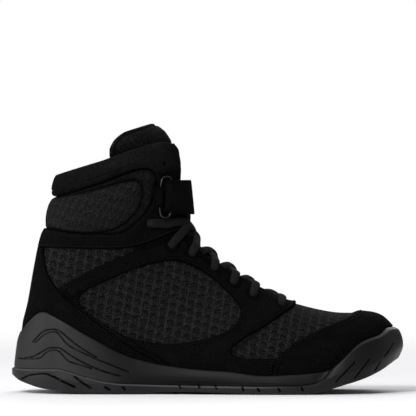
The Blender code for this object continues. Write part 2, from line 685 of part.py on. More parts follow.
# Closed solid between two grids of the same size
def slab(name, outside, inside, material, crease=40.0):
    rows, columns = outside.shape[:2]
    count = rows * columns
    faces = []
    for row in range(rows - 1):
        for column in range(columns - 1):
            corner = row * columns + column
            face = (corner, corner + 1, corner + columns + 1, corner + columns)
            faces.append(face)
            faces.append(tuple(count + place for place in reversed(face)))
    rim = [(0, column) for column in range(columns)] + [(row, columns - 1) for row in range(1, rows)]
    rim += [(rows - 1, column) for column in range(columns - 2, -1, -1)] + [(row, 0) for row in range(rows - 2, 0, -1)]
    rim = [row * columns + column for row, column in rim]
    for first, second in zip(rim, rim[1:] + rim[:1]):
        faces.append((first, second, count + second, count + first))
    points = np.concatenate((outside.reshape(-1, 3), inside.reshape(-1, 3)))
    return make_object(name, points, faces, material, crease)


# Padded tongue inside the throat, from under the vamp to above the collar
def make_tongue(material):
    table = np.array(TONGUE)
    positions = np.concatenate((np.arange(TONGUE[0].section, ROW["cuff"], 1.4),
                                np.linspace(ROW["cuff"], TONGUE[-1].section, 6)))
    outside = []
    inside = []
    for position in positions:
        wrap, thickness, lean = (np.interp(position, table[:, 0], column) for column in table.T[1:])
        outer_row = []
        inner_row = []
        for share in np.linspace(-1.0, 1.0, TONGUE_CELLS + 1):
            side = OUTER_SIDE if share < 0.0 else INNER_SIDE
            point, normal = surface_point(position, math.pi - math.radians(wrap) * abs(share), side)
            depth = WALL + 2.0 * GAP + lean * ACROSS
            body = thickness * ACROSS * (1.0 - 0.55 * abs(share) ** 4)
            outer_row.append(point - normal * depth)
            inner_row.append(point - normal * (depth + body))
        outside.append(outer_row)
        inside.append(inner_row)
    return slab("tongue", np.array(outside), np.array(inside), material, 60.0)


# Round or flat tube along a path, with the given widening across the path's side direction
def tube(name, path, sides, radius, flatten, material, closed=False, outward=None):
    path = np.asarray(path)
    count = len(path)
    points = []
    for index, place in enumerate(path):
        if closed:
            run = path[(index + 1) % count] - path[index - 1]
        else:
            run = path[min(index + 1, count - 1)] - path[max(index - 1, 0)]
        run = run / np.linalg.norm(run)
        out = np.asarray(outward[index], dtype=float)
        out = out - run * out.dot(run)
        out /= np.linalg.norm(out)
        across = np.cross(run, out)
        for turn in np.linspace(0.0, 2.0 * math.pi, sides, endpoint=False):
            points.append(place + across * math.cos(turn) * radius * flatten + out * math.sin(turn) * radius)
    faces = []
    for index in range(count if closed else count - 1):
        here = index * sides
        there = ((index + 1) % count) * sides
        for step in range(sides):
            ahead = (step + 1) % sides
            faces.append((here + step, here + ahead, there + ahead, there + step))
    if not closed:
        faces.append(tuple(range(sides)))
        faces.append(tuple(range((count - 1) * sides, count * sides)))
    return make_object(name, points, faces, material, 60.0)


# Smooth lace through places given as row, angle across the shoe and height over the last
def lace_tube(name, places, steps, material):
    path = []
    outward = []
    for row, turn, height in rows_at(places, np.linspace(0.0, len(places) - 1.0, steps + 1)):
        side = OUTER_SIDE if turn <= math.pi else INNER_SIDE
        point, normal = surface_point(row, min(turn, 2.0 * math.pi - turn), side)
        path.append(point + normal * height)
        outward.append(normal)
    return tube(name, path, 6, LACE_RADIUS, LACE_FLATTEN, material, outward=outward)


# Angle across the shoe for a side, where the outer side runs from 0 to pi and the inner side on to two pi
def turn_on_side(angle, side):
    return angle if side == OUTER_SIDE else 2.0 * math.pi - angle


# Places of a lace that leaves an eyelet on one side, crosses the tongue and goes under the other facing
def strand_places(low_eyelet, high_eyelet, side, middle_height):
    low_row, low_angle = surface_place(low_eyelet.x * ALONG, low_eyelet.z * UP)
    high_row = surface_place(high_eyelet.x * ALONG, high_eyelet.z * UP)[0]
    rise = high_row - low_row
    edge_row = low_row + 0.27 * LACE_REACH * rise
    end_row = low_row + LACE_REACH * rise
    edge = angle_at_distance(sections_at(edge_row)[0], sections_at(edge_row)[0][10], side, True)
    end_section = sections_at(end_row)[0]
    end = angle_at_distance(end_section, end_section[10] - 0.0045, -side, True)
    return [(low_row, turn_on_side(low_angle, side), LACE_LIFT),
            (edge_row, turn_on_side(edge, side), LACE_LIFT + GAP),
            (low_row + 0.67 * LACE_REACH * rise, math.pi, middle_height),
            (end_row, turn_on_side(end, -side), LACE_LOW)]


# Two laces that cross over the tongue, joined where they touch
def lace_cross(name, low_eyelet, high_eyelet, material):
    under = strand_places(low_eyelet, high_eyelet, OUTER_SIDE, LACE_LOW)
    over = strand_places(low_eyelet, high_eyelet, INNER_SIDE, LACE_LOW + 1.3 * LACE_RADIUS)
    first = lace_tube(name, under, 7, material)
    combine(first, lace_tube(f"{name}_over", over, 7, None), "UNION")


# Straight lace between the two top eyelets, level round the front of the ankle
def lace_bar(material):
    x, z = EYELETS[-1].x * ALONG, EYELETS[-1].z * UP
    middle_row = np.interp(z, FAN[:, 3][:401], FAN_POSITIONS[:401])
    front = sections_at(middle_row)[0]
    spots = np.linspace(x, front[2] - 0.0004, 60)
    widths = [-width_at(spot, z)[0] for spot in spots]
    edge_x = np.interp(-front[10], np.negative(widths), spots)
    half = [(*surface_place(x, z), LACE_LIFT), (*surface_place(edge_x, z), LACE_LIFT + GAP)]
    places = half + [(middle_row, math.pi, LACE_LOW + LACE_RADIUS)]
    places += [(spot[0], 2.0 * math.pi - spot[1], spot[2]) for spot in reversed(half)]
    lace_tube("lace_bar", places, 12, material)


# Plan outline round the front of the shaft at the strap, with its outward directions and running length
def shaft_front():
    z = STRAP_MIDDLE * UP
    front = max(sections_at(np.linspace(ROW["heel_seat"], ROW["cuff"], 60))[:, 2][20:])
    halves = []
    for limit in (0, 1):
        half = []
        for share in np.linspace(1.0, 0.0, 24, endpoint=False):
            x = front - (front - SHAFT_BACK * ALONG) * share ** 2
            half.append((x, span_width(x, z, STRAP_WIDTH / 2.0)[limit]))
        halves.append(half)
    line = np.array(halves[0] + halves[1][::-1])
    run = np.concatenate(((0.0,), np.cumsum(np.linalg.norm(np.diff(line, axis=0), axis=1))))
    even = np.linspace(0.0, run[-1], 41)
    line = np.stack((np.interp(even, run, line[:, 0]), np.interp(even, run, line[:, 1])), axis=1)
    step = np.gradient(line, axis=0)
    step /= np.linalg.norm(step, axis=1, keepdims=True)
    return line, np.stack((step[:, 1], -step[:, 0]), axis=1), even


# Ribbon of even thickness along a plan line, upright between two heights
def ribbon(name, line, thickness, width, middle, slope, material):
    line = np.array(line)
    run = np.gradient(line, axis=0)
    run /= np.linalg.norm(run, axis=1, keepdims=True)
    aside = np.stack((run[:, 1], -run[:, 0]), axis=1) * thickness / 2.0
    grids = []
    for sign in (1.0, -1.0):
        edge = line + sign * aside
        rows = []
        for share in (-0.5, 0.5):
            rise = share * width
            rows.append(np.stack((edge[:, 0] - slope * rise, edge[:, 1], np.full(len(edge), middle + rise)), axis=1))
        grids.append(np.array(rows))
    return slab(name, grids[0], grids[1], material, 50.0)


# Half turn of plan points round a leg of the ring, from its inner side to its outer side
def half_turn(centre, outward, away, radius, steps=7):
    return [centre + radius * (away * math.sin(turn) - outward * math.cos(turn))
            for turn in np.linspace(0.0, math.pi, steps)]


# Strap, its ring and the tab that holds the ring
def make_strap(strap_material, wire_material, tab_material):
    line, outward, run = shaft_front()
    clear = GAP + OVERLAY + 4.0 * GAP
    leg_off = clear + STRAP_THICKNESS + 2.0 * GAP + RING_WIRE

    def place(length, distance):
        direction = np.array((np.interp(length, run, outward[:, 0]), np.interp(length, run, outward[:, 1])))
        spot = np.array((np.interp(length, run, line[:, 0]), np.interp(length, run, line[:, 1])))
        return spot + direction / np.linalg.norm(direction) * distance

    lengths = np.linspace(0.0, run[-1] / 2.0, 200)
    spots = np.array([place(length, leg_off)[0] for length in lengths])
    front_run = np.interp(RING_FRONT * ALONG, spots, lengths)
    back_run = np.interp(RING_BACK * ALONG, spots, lengths)
    front_leg = place(front_run, leg_off)
    back_leg = place(back_run, leg_off)
    ring_way = (front_leg - back_leg) / np.linalg.norm(front_leg - back_leg)
    ring_out = np.array((ring_way[1], -ring_way[0]))
    middle = (front_leg + back_leg) / 2.0
    half_width = np.linalg.norm(front_leg - back_leg) / 2.0
    path = []
    for turn in np.linspace(0.0, 2.0 * math.pi, 20, endpoint=False):
        wide = math.copysign(abs(math.cos(turn)) ** 0.3, math.cos(turn)) * half_width
        tall = math.copysign(abs(math.sin(turn)) ** 0.3, math.sin(turn)) * RING_HALF_HEIGHT
        spot = middle + ring_way * wide
        path.append((spot[0] - STRAP_SLOPE * tall, spot[1], STRAP_MIDDLE * UP + tall))
    tube("strap_ring", path, 6, RING_WIRE, 1.0, wire_material, closed=True, outward=[(*ring_out, 0.0)] * 20)

    # The strap comes round the front, turns about the ring's front leg and lies back on itself
    fold = RING_WIRE + 2.0 * GAP + STRAP_THICKNESS / 2.0
    inner_off = clear + STRAP_THICKNESS / 2.0
    outer_off = inner_off + STRAP_THICKNESS + 2.0 * GAP
    anchor_run = run[-1] - back_run + ANCHOR_SHIFT
    end_run = anchor_run - END_SHORT
    inside = [place(length, inner_off) for length in np.linspace(anchor_run, front_run + 0.002, 16)]
    bend = half_turn(front_leg, ring_out, -ring_way, fold)
    outside = []
    for length in np.linspace(front_run + 0.002, end_run, 16):
        share = np.clip((length - front_run) / 0.014, 0.0, 1.0)
        start_off = leg_off + fold
        outside.append(place(length, start_off + (outer_off - start_off) * share))
    ribbon("strap", inside + bend + outside, STRAP_THICKNESS, STRAP_WIDTH, STRAP_MIDDLE * UP, STRAP_SLOPE,
           strap_material)

    tab_fold = RING_WIRE + GAP + TAB_THICKNESS / 2.0
    arms = [back_leg - ring_way * TAB_LENGTH * share for share in (1.0, 0.5)]
    tab_line = [arm - ring_out * tab_fold for arm in arms]
    tab_line += half_turn(back_leg, ring_out, ring_way, tab_fold)
    tab_line += [arm + ring_out * tab_fold for arm in reversed(arms)]
    ribbon("ring_tab", tab_line, TAB_THICKNESS, TAB_WIDTH, STRAP_MIDDLE * UP, STRAP_SLOPE, tab_material)


# Bars that punch the eyelets through the facing
def eyelet_bars():
    points = []
    faces = []
    sides = 6
    for side in (OUTER_SIDE, INNER_SIDE):
        for eyelet in EYELETS:
            row, angle = surface_place(eyelet.x * ALONG, eyelet.z * UP)
            centre, normal = surface_point(row, angle, side)
            across = np.cross(normal, (0.0, 0.0, 1.0))
            across /= np.linalg.norm(across)
            upward = np.cross(across, normal)
            first = len(points)
            for depth in (-0.006, 0.006):
                for turn in np.linspace(0.0, 2.0 * math.pi, sides, endpoint=False):
                    spoke = across * math.cos(turn) + upward * math.sin(turn)
                    points.append(centre + normal * depth + spoke * EYELET_RADIUS)
            faces.append(tuple(range(first, first + sides)))
            faces.append(tuple(range(first + sides, first + 2 * sides)))
            for step in range(sides):
                ahead = (step + 1) % sides
                faces.append((first + step, first + ahead, first + sides + ahead, first + sides + step))
    return make_object("eyelet_bars", points, faces)


def build():
    for thing in list(bpy.data.objects):
        bpy.data.objects.remove(thing, do_unlink=True)

    rubber = finish("midsole_rubber", RUBBER, 0.55)
    rubber_dark = finish("outsole_rubber", RUBBER_DARK, 0.5)
    suede = finish("suede", SUEDE, 0.9)
    mesh = finish("mesh", MESH, 0.85)
    lining = finish("lining", LINING, 0.9)
    cord = finish("cord", CORD, 0.8)
    webbing = finish("webbing", SUEDE, 0.85)
    wire = finish("wire", WIRE, 0.35, 0.8)

    # Main form: upper, sole, insole and tongue
    bars = eyelet_bars()
    upper = shell("upper", skin(0.0), skin(-WALL), mesh)
    combine(upper, bars, "DIFFERENCE")
    cup = last_form("cup_form", GAP)
    midsole = sole_block("midsole", rubber)
    combine(midsole, prism("below_joint", joint_region(False)), "DIFFERENCE")
    combine(midsole, cup, "DIFFERENCE")
    outsole = sole_block("outsole", rubber_dark)
    combine(outsole, prism("above_joint", joint_region(True)), "DIFFERENCE")
    combine(outsole, cup, "DIFFERENCE")
    combine(outsole, tread_slits(), "DIFFERENCE")
    insole = last_form("insole", -(WALL + GAP), lining)
    seat = [(row.sole_x * ALONG, row.sole_z * UP + WALL + INSOLE_THICKNESS) for row in LAST[:ROW["heel_low"]]]
    seat = [(0.33, seat[0][1] + 0.01)] + seat + [(-0.03, seat[-1][1]), (-0.03, -0.02), (0.33, -0.02)]
    combine(insole, prism("insole_level", np.array(seat)), "INTERSECT")
    make_tongue(lining)

    # Overlays, each a step out from the upper's own surface
    flat = skin(GAP + OVERLAY)
    floor = skin(GAP)
    toe_border = outline(TOE_GUARD)
    foxing_border = outline(HEEL_FOXING)
    collar_border = outline(COLLAR_FRAME)
    pad_border = outline(PAD_WINDOW)
    sole_cut = sole_block("sole_cut", None, 0.004)

    toe_guard = shell("toe_guard", flat, floor, suede)
    combine(toe_guard, prism("toe_region", toe_border), "INTERSECT")
    foxing = shell("heel_foxing", flat, floor, suede)
    combine(foxing, prism("foxing_region", foxing_border), "INTERSECT")
    saddle = shell("saddle", flat, floor, suede)
    combine(saddle, prism("saddle_region", outline(SADDLE)), "INTERSECT")
    for name, strokes in (("toe", TOE_GUARD), ("foxing", HEEL_FOXING), ("collar", COLLAR_FRAME)):
        combine(saddle, prism(f"saddle_less_{name}", outline(strokes, GAP)), "DIFFERENCE")
    for name, strokes in (("quarter_window", QUARTER_WINDOW), ("heel_window", HEEL_WINDOW)):
        combine(saddle, prism(name, outline(strokes)), "DIFFERENCE")
    combine(saddle, bars, "DIFFERENCE")

    below_rim = np.clip((ROW["collar"] - STATIONS) * CUFF_HEIGHT / 0.009, 0.0, 1.0)[:, None]
    cuff_swell = np.maximum(swelling(collar_border, CUFF_SWELL, 0.012) * np.sqrt(1.0 - (1.0 - below_rim) ** 2), OVERLAY)
    above_pad = BASE_RINGS[:, :, 2] > (146.0 * UP + (BASE_RINGS[:, :, 0] - 30.0 * ALONG) * 0.30)
    cuff_swell = np.where(above_pad, cuff_swell, OVERLAY)
    collar = shell("collar_frame", skin(GAP + cuff_swell), floor, suede)
    combine(collar, prism("collar_region", collar_border), "INTERSECT")
    combine(collar, prism("pad_hole", pad_border), "DIFFERENCE")
    combine(collar, bars, "DIFFERENCE")
    pad_swell = np.maximum(swelling(pad_border, PAD_SWELL, 0.013), OVERLAY)
    pad = shell("ankle_pad", skin(GAP + pad_swell), floor, mesh)
    combine(pad, prism("pad_region", outline(PAD_WINDOW, -GAP)), "INTERSECT")

    # The sole's wall takes the place of the overlays' lower edges
    for thing in (toe_guard, foxing, saddle):
        combine(thing, sole_cut, "DIFFERENCE")

    # Lace, strap and ring
    for number, (low_eyelet, high_eyelet) in enumerate(zip(EYELETS[:-2], EYELETS[1:-1]), 1):
        lace_cross(f"lace_cross_{number}", low_eyelet, high_eyelet, cord)
    lace_bar(cord)
    make_strap(webbing, wire, webbing)


build()
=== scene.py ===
"""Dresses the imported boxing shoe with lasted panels, laces, stitches and materials, and sets its stage.

Frame: metres, +X to the toe, -Y to the outer side of the foot, +Z up, floor at z = 0.
Tables are in millimetres from the back of the heel, as in the part's own source.
"""

import math
from collections import namedtuple

import bmesh
import bpy
import numpy as np
from bpy.props import FloatProperty, FloatVectorProperty, PointerProperty
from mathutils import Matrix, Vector


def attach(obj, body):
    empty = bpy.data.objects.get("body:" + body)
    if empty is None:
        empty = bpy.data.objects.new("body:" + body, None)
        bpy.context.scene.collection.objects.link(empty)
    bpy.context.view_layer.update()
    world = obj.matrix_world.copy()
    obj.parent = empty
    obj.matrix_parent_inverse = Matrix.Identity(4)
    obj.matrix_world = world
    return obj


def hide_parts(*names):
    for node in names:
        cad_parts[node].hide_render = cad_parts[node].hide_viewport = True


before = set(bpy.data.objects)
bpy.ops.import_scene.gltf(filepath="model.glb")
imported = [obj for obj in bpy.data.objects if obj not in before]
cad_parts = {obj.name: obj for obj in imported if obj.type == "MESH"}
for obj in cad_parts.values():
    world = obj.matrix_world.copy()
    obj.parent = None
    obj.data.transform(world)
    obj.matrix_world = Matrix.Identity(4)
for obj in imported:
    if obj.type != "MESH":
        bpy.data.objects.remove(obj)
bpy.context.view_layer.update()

bl_info = {
    "name": "Boxing Shoe",
    "version": (1, 0, 0),
    "blender": (4, 5, 0),
    "location": "View3D > Sidebar > Shoe",
    "description": "Dresses a right boxing shoe with panels, laces, stitches and materials",
    "category": "Object",
}

# Metres in a millimetre, and the place of the frame's origin in the tables
MM = 0.001
TABLE_MIDDLE = np.array((149.28, -1.68, 0.0)) * MM
FULL_CIRCLE = 2.0 * math.pi

# Sides of the shoe, and thicknesses of wall, gap between panels and skin of the sole
OUTER_SIDE = 1.0
INNER_SIDE = -1.0
BOTH_SIDES = (OUTER_SIDE, INNER_SIDE)
WALL = 2.2
GAP = 0.3
SOLE_SKIN = 1.9

# Depth of a point that is far from an opening, depth of one to be cut away, and merging distance in metres
FAR_AWAY = 50.0
CUT_AWAY = -5.0
FINE_MERGE = 2e-6

# Sections of the last, from a point on the sole or heel line to one on the top or front line
Section = namedtuple(
    "Section", "name sole_x sole_z top_x top_z outer inner ridge widest low_round top_round gap")
LAST = (
    Section("toe_tip", 292.8, 34.5, 293.6, 42.0, -2.0, 13.0, 7.5, 0.48, 2.2, 2.2, 3.0),
    Section("toe_front", 290.6, 28.5, 292.2, 47.6, 8.5, 21.0, 7.0, 0.45, 2.4, 2.2, 5.0),
    Section("toe_turn", 284.5, 23.7, 287.8, 52.8, 19.5, 29.0, 6.5, 0.42, 2.7, 2.2, 6.0),
    Section("toe", 275.3, 18.7, 279.5, 58.3, 30.0, 36.0, 5.5, 0.38, 3.2, 2.2, 7.0),
    Section("toe_cap", 262.3, 14.4, 266.9, 60.4, 38.0, 41.0, 4.5, 0.34, 3.8, 2.3, 8.0),
    Section("vamp", 239.2, 10.2, 246.1, 61.2, 44.5, 43.5, 3.5, 0.30, 4.4, 2.3, 9.0),
    Section("ball", 210.8, 8.0, 223.1, 66.0, 47.0, 43.5, 2.5, 0.27, 4.6, 2.3, 10.0),
    Section("throat", 185.5, 8.0, 205.4, 72.0, 46.5, 40.0, 2.0, 0.26, 4.6, 2.2, 11.0),
    Section("instep_low", 160.1, 9.2, 187.8, 81.8, 43.5, 36.0, 1.5, 0.25, 4.5, 2.1, 12.0),
    Section("instep_mid", 131.7, 10.8, 170.1, 93.4, 39.5, 33.0, 1.0, 0.25, 4.4, 2.05, 13.0),
    Section("instep_high", 97.2, 13.0, 154.8, 105.0, 36.5, 32.5, 0.5, 0.28, 4.0, 2.05, 14.0),
    Section("ankle_bend", 58.8, 17.0, 142.4, 116.6, 35.0, 33.5, 0.0, 0.34, 3.6, 2.15, 14.0),
    Section("heel_seat", 28.0, 20.2, 135.6, 127.3, 34.0, 34.0, 0.0, 0.42, 3.1, 2.3, 14.0),
    Section("heel_turn", 10.0, 24.0, 133.2, 135.0, 33.5, 33.5, 0.0, 0.45, 2.8, 2.4, 14.0),
    Section("heel_low", 5.8, 36.0, 131.7, 141.2, 33.5, 33.5, 0.0, 0.47, 2.5, 2.4, 14.0),
    Section("heel_back", 8.4, 51.0, 130.6, 147.3, 33.5, 33.5, 0.0, 0.50, 2.4, 2.4, 14.0),
    Section("counter", 12.9, 69.0, 130.0, 153.4, 33.5, 33.5, 0.0, 0.50, 2.35, 2.4, 14.0),
    Section("ankle", 17.9, 97.4, 129.8, 159.6, 34.0, 34.0, 0.0, 0.50, 2.3, 2.35, 14.0),
    Section("band", 22.8, 119.7, 129.8, 167.3, 35.5, 35.5, 0.0, 0.50, 2.2, 2.3, 14.0),
    Section("pad", 29.2, 131.0, 129.8, 173.0, 36.5, 36.5, 0.0, 0.50, 2.2, 2.3, 14.5),
    Section("cuff", 32.6, 147.3, 130.0, 181.8, 38.0, 38.0, 0.0, 0.50, 2.2, 2.3, 17.0),
    Section("collar", 34.0, 166.6, 130.4, 195.6, 39.5, 39.5, 0.0, 0.50, 2.2, 2.3, 26.0),
    Section("tongue_top", 35.7, 181.5, 109.0, 212.0, 34.0, 34.0, 0.0, 0.50, 2.2, 2.2, 31.5),
)
ROW = {row.name: index for index, row in enumerate(LAST)}
LAST_NUMBERS = np.array([row[1:] for row in LAST])
SOLE_X, SOLE_Z, TOP_X, TOP_Z, OUTER, INNER, RIDGE, WIDEST, LOW_ROUND, TOP_ROUND, THROAT_GAP = range(11)

# Front end of the throat in rows, its corner radius, the cuff's corner radius, and a row's height at the rim
THROAT_START = 6.5
THROAT_CORNER = 5.0
CUFF_CORNER = 9.0
RIM_ROW_HEIGHT = 17.0

# Lines of the sole in side view
SoleLine = namedtuple("SoleLine", "x under joint rim")
SOLE = (
    SoleLine(0.0, 13.3, 17.0, 46.5),
    SoleLine(6.5, 9.1, 17.0, 53.6),
    SoleLine(15.0, 6.0, 17.0, 60.2),
    SoleLine(24.0, 4.0, 17.1, 61.3),
    SoleLine(33.5, 2.7, 17.4, 57.2),
    SoleLine(43.5, 1.2, 15.0, 51.3),
    SoleLine(54.0, 0.0, 11.4, 44.8),
    SoleLine(66.5, 0.0, 8.3, 38.2),
    SoleLine(80.0, 0.0, 6.4, 31.0),
    SoleLine(94.0, 0.0, 5.8, 25.6),
    SoleLine(112.5, 1.2, 5.2, 21.0),
    SoleLine(136.0, 1.6, 4.7, 17.9),
    SoleLine(166.0, 0.8, 4.4, 15.6),
    SoleLine(190.0, 0.0, 4.2, 12.7),
    SoleLine(221.0, 0.0, 4.8, 13.8),
    SoleLine(231.5, 1.2, 6.5, 15.0),
    SoleLine(238.0, 2.6, 10.5, 16.2),
    SoleLine(244.5, 4.6, 18.3, 19.3),
    SoleLine(251.5, 6.7, 32.0, 25.3),
    SoleLine(257.7, 8.5, 50.0, 31.2),
    SoleLine(264.6, 10.6, 60.0, 36.9),
    SoleLine(273.8, 14.0, 60.0, 41.0),
    SoleLine(283.0, 18.0, 60.0, 44.2),
    SoleLine(292.0, 22.6, 60.0, 49.4),
    SoleLine(298.0, 25.0, 60.0, 49.6),
)

# Sizes of the sole's wall, and heights at which the last's widest reach is looked for
SOLE_FLARE = 5.2
SOLE_LIP = 2.1
HEEL_LEAN = 4.0
SEAT_RISE = 9.0
UNDER_BEVEL = 1.6
RIM_ROUND = 1.5
BUMPER_EDGE = 1.5
TOE_BEVEL = 5.0
TOE_BEVEL_START = 268.0
TOE_BEVEL_RUN = 28.0
TOE_BEVEL_HEIGHT = 14.0
TOE_CHAMFER = 1.4
WAIST_INSET = 2.4
SEAT_HEIGHTS = (18.0, 22.0, 28.0, 34.0)
FARTHEST_REACH = 80.0

# Distances from the heel where a form of the sole sets in, is whole, begins to fade and is gone
NEAR_SPAN = (0.0, 45.0, 262.0, 298.0)
HEEL_LEAN_SPAN = (10.0, 42.0, 75.0, 115.0)
WAIST_SPAN = (85.0, 125.0, 230.0, 248.0)

# Centres in plan that the sole's rays turn round at its ends
HEEL_CENTRE = (34.0, 0.0)
TOE_CENTRE = (250.0, 5.5)

# Middles of the small slits along the outsole's lower edge
NOTCHES = ((128.0, 3.7), (142.5, 4.0), (155.5, 3.5), (176.3, 2.3), (188.1, 1.8), (203.9, 1.8), (221.6, 2.4))

# Moulded grooves of the sole's side: depth and half width, then points in side view.
# Each is cut at its lip and at the foot of its slope, as shares of its half width.
GROOVE_CUTS = (1.0, 0.4)
GROOVE_SLOPE = 0.6
Groove = namedtuple("Groove", "depth half points")
GROOVES = (
    Groove(0.9, 0.75, ((14.0, 37.5), (19.0, 43.0), (23.0, 46.3), (27.3, 47.5), (32.3, 47.5), (36.5, 45.6),
                       (44.2, 39.0), (52.6, 32.9), (64.1, 26.0))),
    Groove(0.8, 0.70, ((16.5, 37.5), (24.2, 44.1), (32.3, 45.6), (36.5, 41.6), (40.3, 37.0), (45.7, 33.3),
                       (56.4, 28.3), (64.1, 24.7), (71.0, 22.1), (80.3, 18.3), (88.7, 14.9))),
    Groove(0.9, 0.75, ((8.0, 25.2), (15.0, 26.7), (21.9, 30.6), (26.2, 32.9), (29.9, 33.6), (35.4, 33.2),
                       (41.5, 29.3), (48.0, 25.2), (58.8, 19.8), (68.0, 16.0), (81.8, 12.1))),
    Groove(0.8, 0.70, ((2.0, 24.7), (18.8, 25.2), (23.4, 28.7), (28.0, 31.3), (34.2, 31.3), (38.0, 27.5),
                       (42.6, 23.2), (52.6, 20.1), (60.3, 17.5))),
    Groove(1.2, 0.75, ((6.5, 9.1), (12.7, 12.1), (24.2, 13.7), (30.3, 11.4))),
    Groove(2.2, 0.95, ((31.1, 11.4), (39.0, 7.4), (47.2, 3.7))),
    Groove(2.2, 0.95, ((47.2, 11.4), (53.0, 7.0), (59.5, 2.9))),
    Groove(2.0, 0.90, ((70.3, 3.7), (74.1, 1.4))),
    Groove(2.0, 0.90, ((84.1, 3.7), (85.6, 1.4))),
    Groove(1.5, 0.65, ((262.1, 23.1), (256.6, 17.5), (247.5, 8.1))),
    Groove(1.5, 0.65, ((273.2, 25.5), (267.1, 17.5), (261.9, 11.1))),
    Groove(1.5, 0.65, ((291.5, 36.6), (288.0, 31.4), (284.5, 27.0))),
    Groove(1.5, 0.65, ((281.2, 22.7), (277.2, 16.2))),
) + tuple(Groove(2.0, 0.9, ((x - 0.5, z + 1.0), (x + 0.5, z - 1.0))) for x, z in NOTCHES)

# Side-view outlines of the overlays, as strokes that are smooth inside and meet at corners
TOE_GUARD = (
    ((269.5, 75.0), (269.0, 62.5), (260.0, 56.8), (248.0, 52.0), (235.0, 47.0), (223.0, 41.5),
     (213.0, 35.5), (207.0, 30.5), (202.0, 26.0)),
    ((202.0, 26.0), (199.5, 18.0), (197.5, 6.0), (197.0, -6.0)),
    ((197.0, -6.0), (310.0, -6.0)),
    ((310.0, -6.0), (310.0, 75.0)),
    ((310.0, 75.0), (269.5, 75.0)),
)
HEEL_FOXING = (
    ((-8.0, 111.7), (16.0, 111.7), (23.0, 110.0)),
    ((23.0, 110.0), (23.4, 103.0), (24.4, 97.0), (27.3, 88.5), (33.5, 78.5), (41.0, 71.0), (52.0, 62.0),
     (66.0, 51.0), (80.0, 41.0), (93.0, 32.0), (108.0, 24.0), (122.0, 14.0), (130.0, 0.0)),
    ((130.0, 0.0), (-8.0, 0.0)),
    ((-8.0, 0.0), (-8.0, 111.7)),
)
COLLAR_FRAME = (
    ((-8.0, 110.5), (22.5, 110.5), (55.0, 109.8), (80.0, 109.8), (95.0, 112.0), (106.0, 115.5),
     (115.0, 119.0), (123.0, 122.3), (133.0, 124.0), (160.0, 125.0)),
    ((160.0, 125.0), (160.0, 230.0)),
    ((160.0, 230.0), (-8.0, 230.0)),
    ((-8.0, 230.0), (-8.0, 110.5)),
)
PAD_WINDOW = (
    ((0.0, 125.8), (28.0, 124.8), (35.7, 123.6), (43.4, 122.3), (54.9, 121.7), (66.4, 121.9), (74.0, 121.4),
     (80.0, 121.9), (87.2, 125.0), (93.3, 130.0), (99.0, 135.8), (103.3, 141.9), (106.4, 148.3),
     (108.0, 156.0), (108.4, 164.5), (105.6, 169.6), (100.5, 171.6), (93.3, 170.7), (85.6, 168.0),
     (74.1, 163.4), (63.4, 159.2), (49.5, 154.5), (40.0, 151.6), (31.9, 150.0), (0.0, 149.4)),
    ((0.0, 149.4), (0.0, 125.8)),
)
PAD_CROWN = (
    ((0.0, 126.2), (28.0, 125.2), (35.7, 124.0), (43.4, 122.8), (54.9, 122.2), (66.4, 122.9), (76.4, 124.6),
     (82.0, 127.6), (88.7, 132.5), (94.1, 138.9), (97.2, 145.0), (98.5, 151.1), (98.0, 158.5), (94.0, 162.8),
     (85.6, 162.0), (74.1, 158.8), (63.4, 155.6), (49.5, 152.2), (40.0, 150.4), (31.9, 149.4), (0.0, 149.0)),
    ((0.0, 149.0), (0.0, 126.2)),
)
SADDLE = (
    ((222.0, 80.0), (217.5, 66.5), (208.5, 60.0), (198.5, 53.5), (187.0, 46.5), (176.0, 40.0), (169.5, 35.0),
     (167.2, 31.5), (169.5, 28.0), (176.0, 25.6), (190.0, 25.4), (202.0, 25.6)),
    ((202.0, 25.6), (202.0, -4.0)),
    ((202.0, -4.0), (-8.0, -4.0)),
    ((-8.0, -4.0), (-8.0, 125.0)),
    ((-8.0, 125.0), (160.0, 140.0)),
    ((160.0, 140.0), (222.0, 80.0)),
)
QUARTER_WINDOW = (
    ((52.5, 76.0), (60.0, 80.5), (70.5, 85.0), (83.0, 90.5), (96.0, 95.5), (113.0, 99.6), (126.0, 100.0),
     (140.0, 94.5), (155.0, 84.5), (168.0, 72.0), (174.0, 63.0), (171.5, 53.0), (162.0, 45.5), (144.0, 39.5),
     (121.0, 36.4), (100.0, 38.5), (87.0, 42.0), (74.0, 48.5), (62.0, 57.0), (52.0, 65.5), (50.0, 70.5)),
    ((50.0, 70.5), (52.5, 76.0)),
)
HEEL_WINDOW = (
    ((0.0, 111.5), (22.0, 111.5), (40.0, 110.8), (60.0, 110.4), (80.0, 110.4), (96.0, 112.4)),
    ((96.0, 112.4), (90.0, 107.0), (80.0, 102.5), (68.0, 97.5), (53.5, 90.5), (40.0, 83.0), (31.0, 77.0)),
    ((31.0, 77.0), (0.0, 77.0)),
    ((0.0, 77.0), (0.0, 111.5)),
)
EYESTAY_SEAM = (
    (197.0, 77.5), (195.7, 75.1), (194.2, 71.5), (191.6, 68.0), (188.0, 63.4), (183.4, 59.8), (178.0, 58.3),
)
EYELETS = (
    (205.4, 66.6), (183.6, 74.3), (168.6, 83.6), (153.7, 94.3), (136.3, 105.8), (121.4, 112.7),
    (104.0, 129.6),
)

# Punched holes, and how far the knit stops short of the collar's edge
EYELET_RADIUS = 2.1
KNIT_EYELET_RADIUS = 2.2
KNIT_INSET = 0.7
CUFF_HOLE = (113.5, 175.7)
CUFF_HOLE_RADIUS = 0.8

# Distances of the sewn lines from a panel's edge
SEAM_NEAR = 1.7
SEAM_FAR = 3.6
PAD_SEAM = 2.3
CUFF_TROUGH = 4.4

# Half width and half height of a stitch, and how far its middle lies over the panel
STITCH_HALF = (0.38, 0.3)
STITCH_PROUD = 0.12

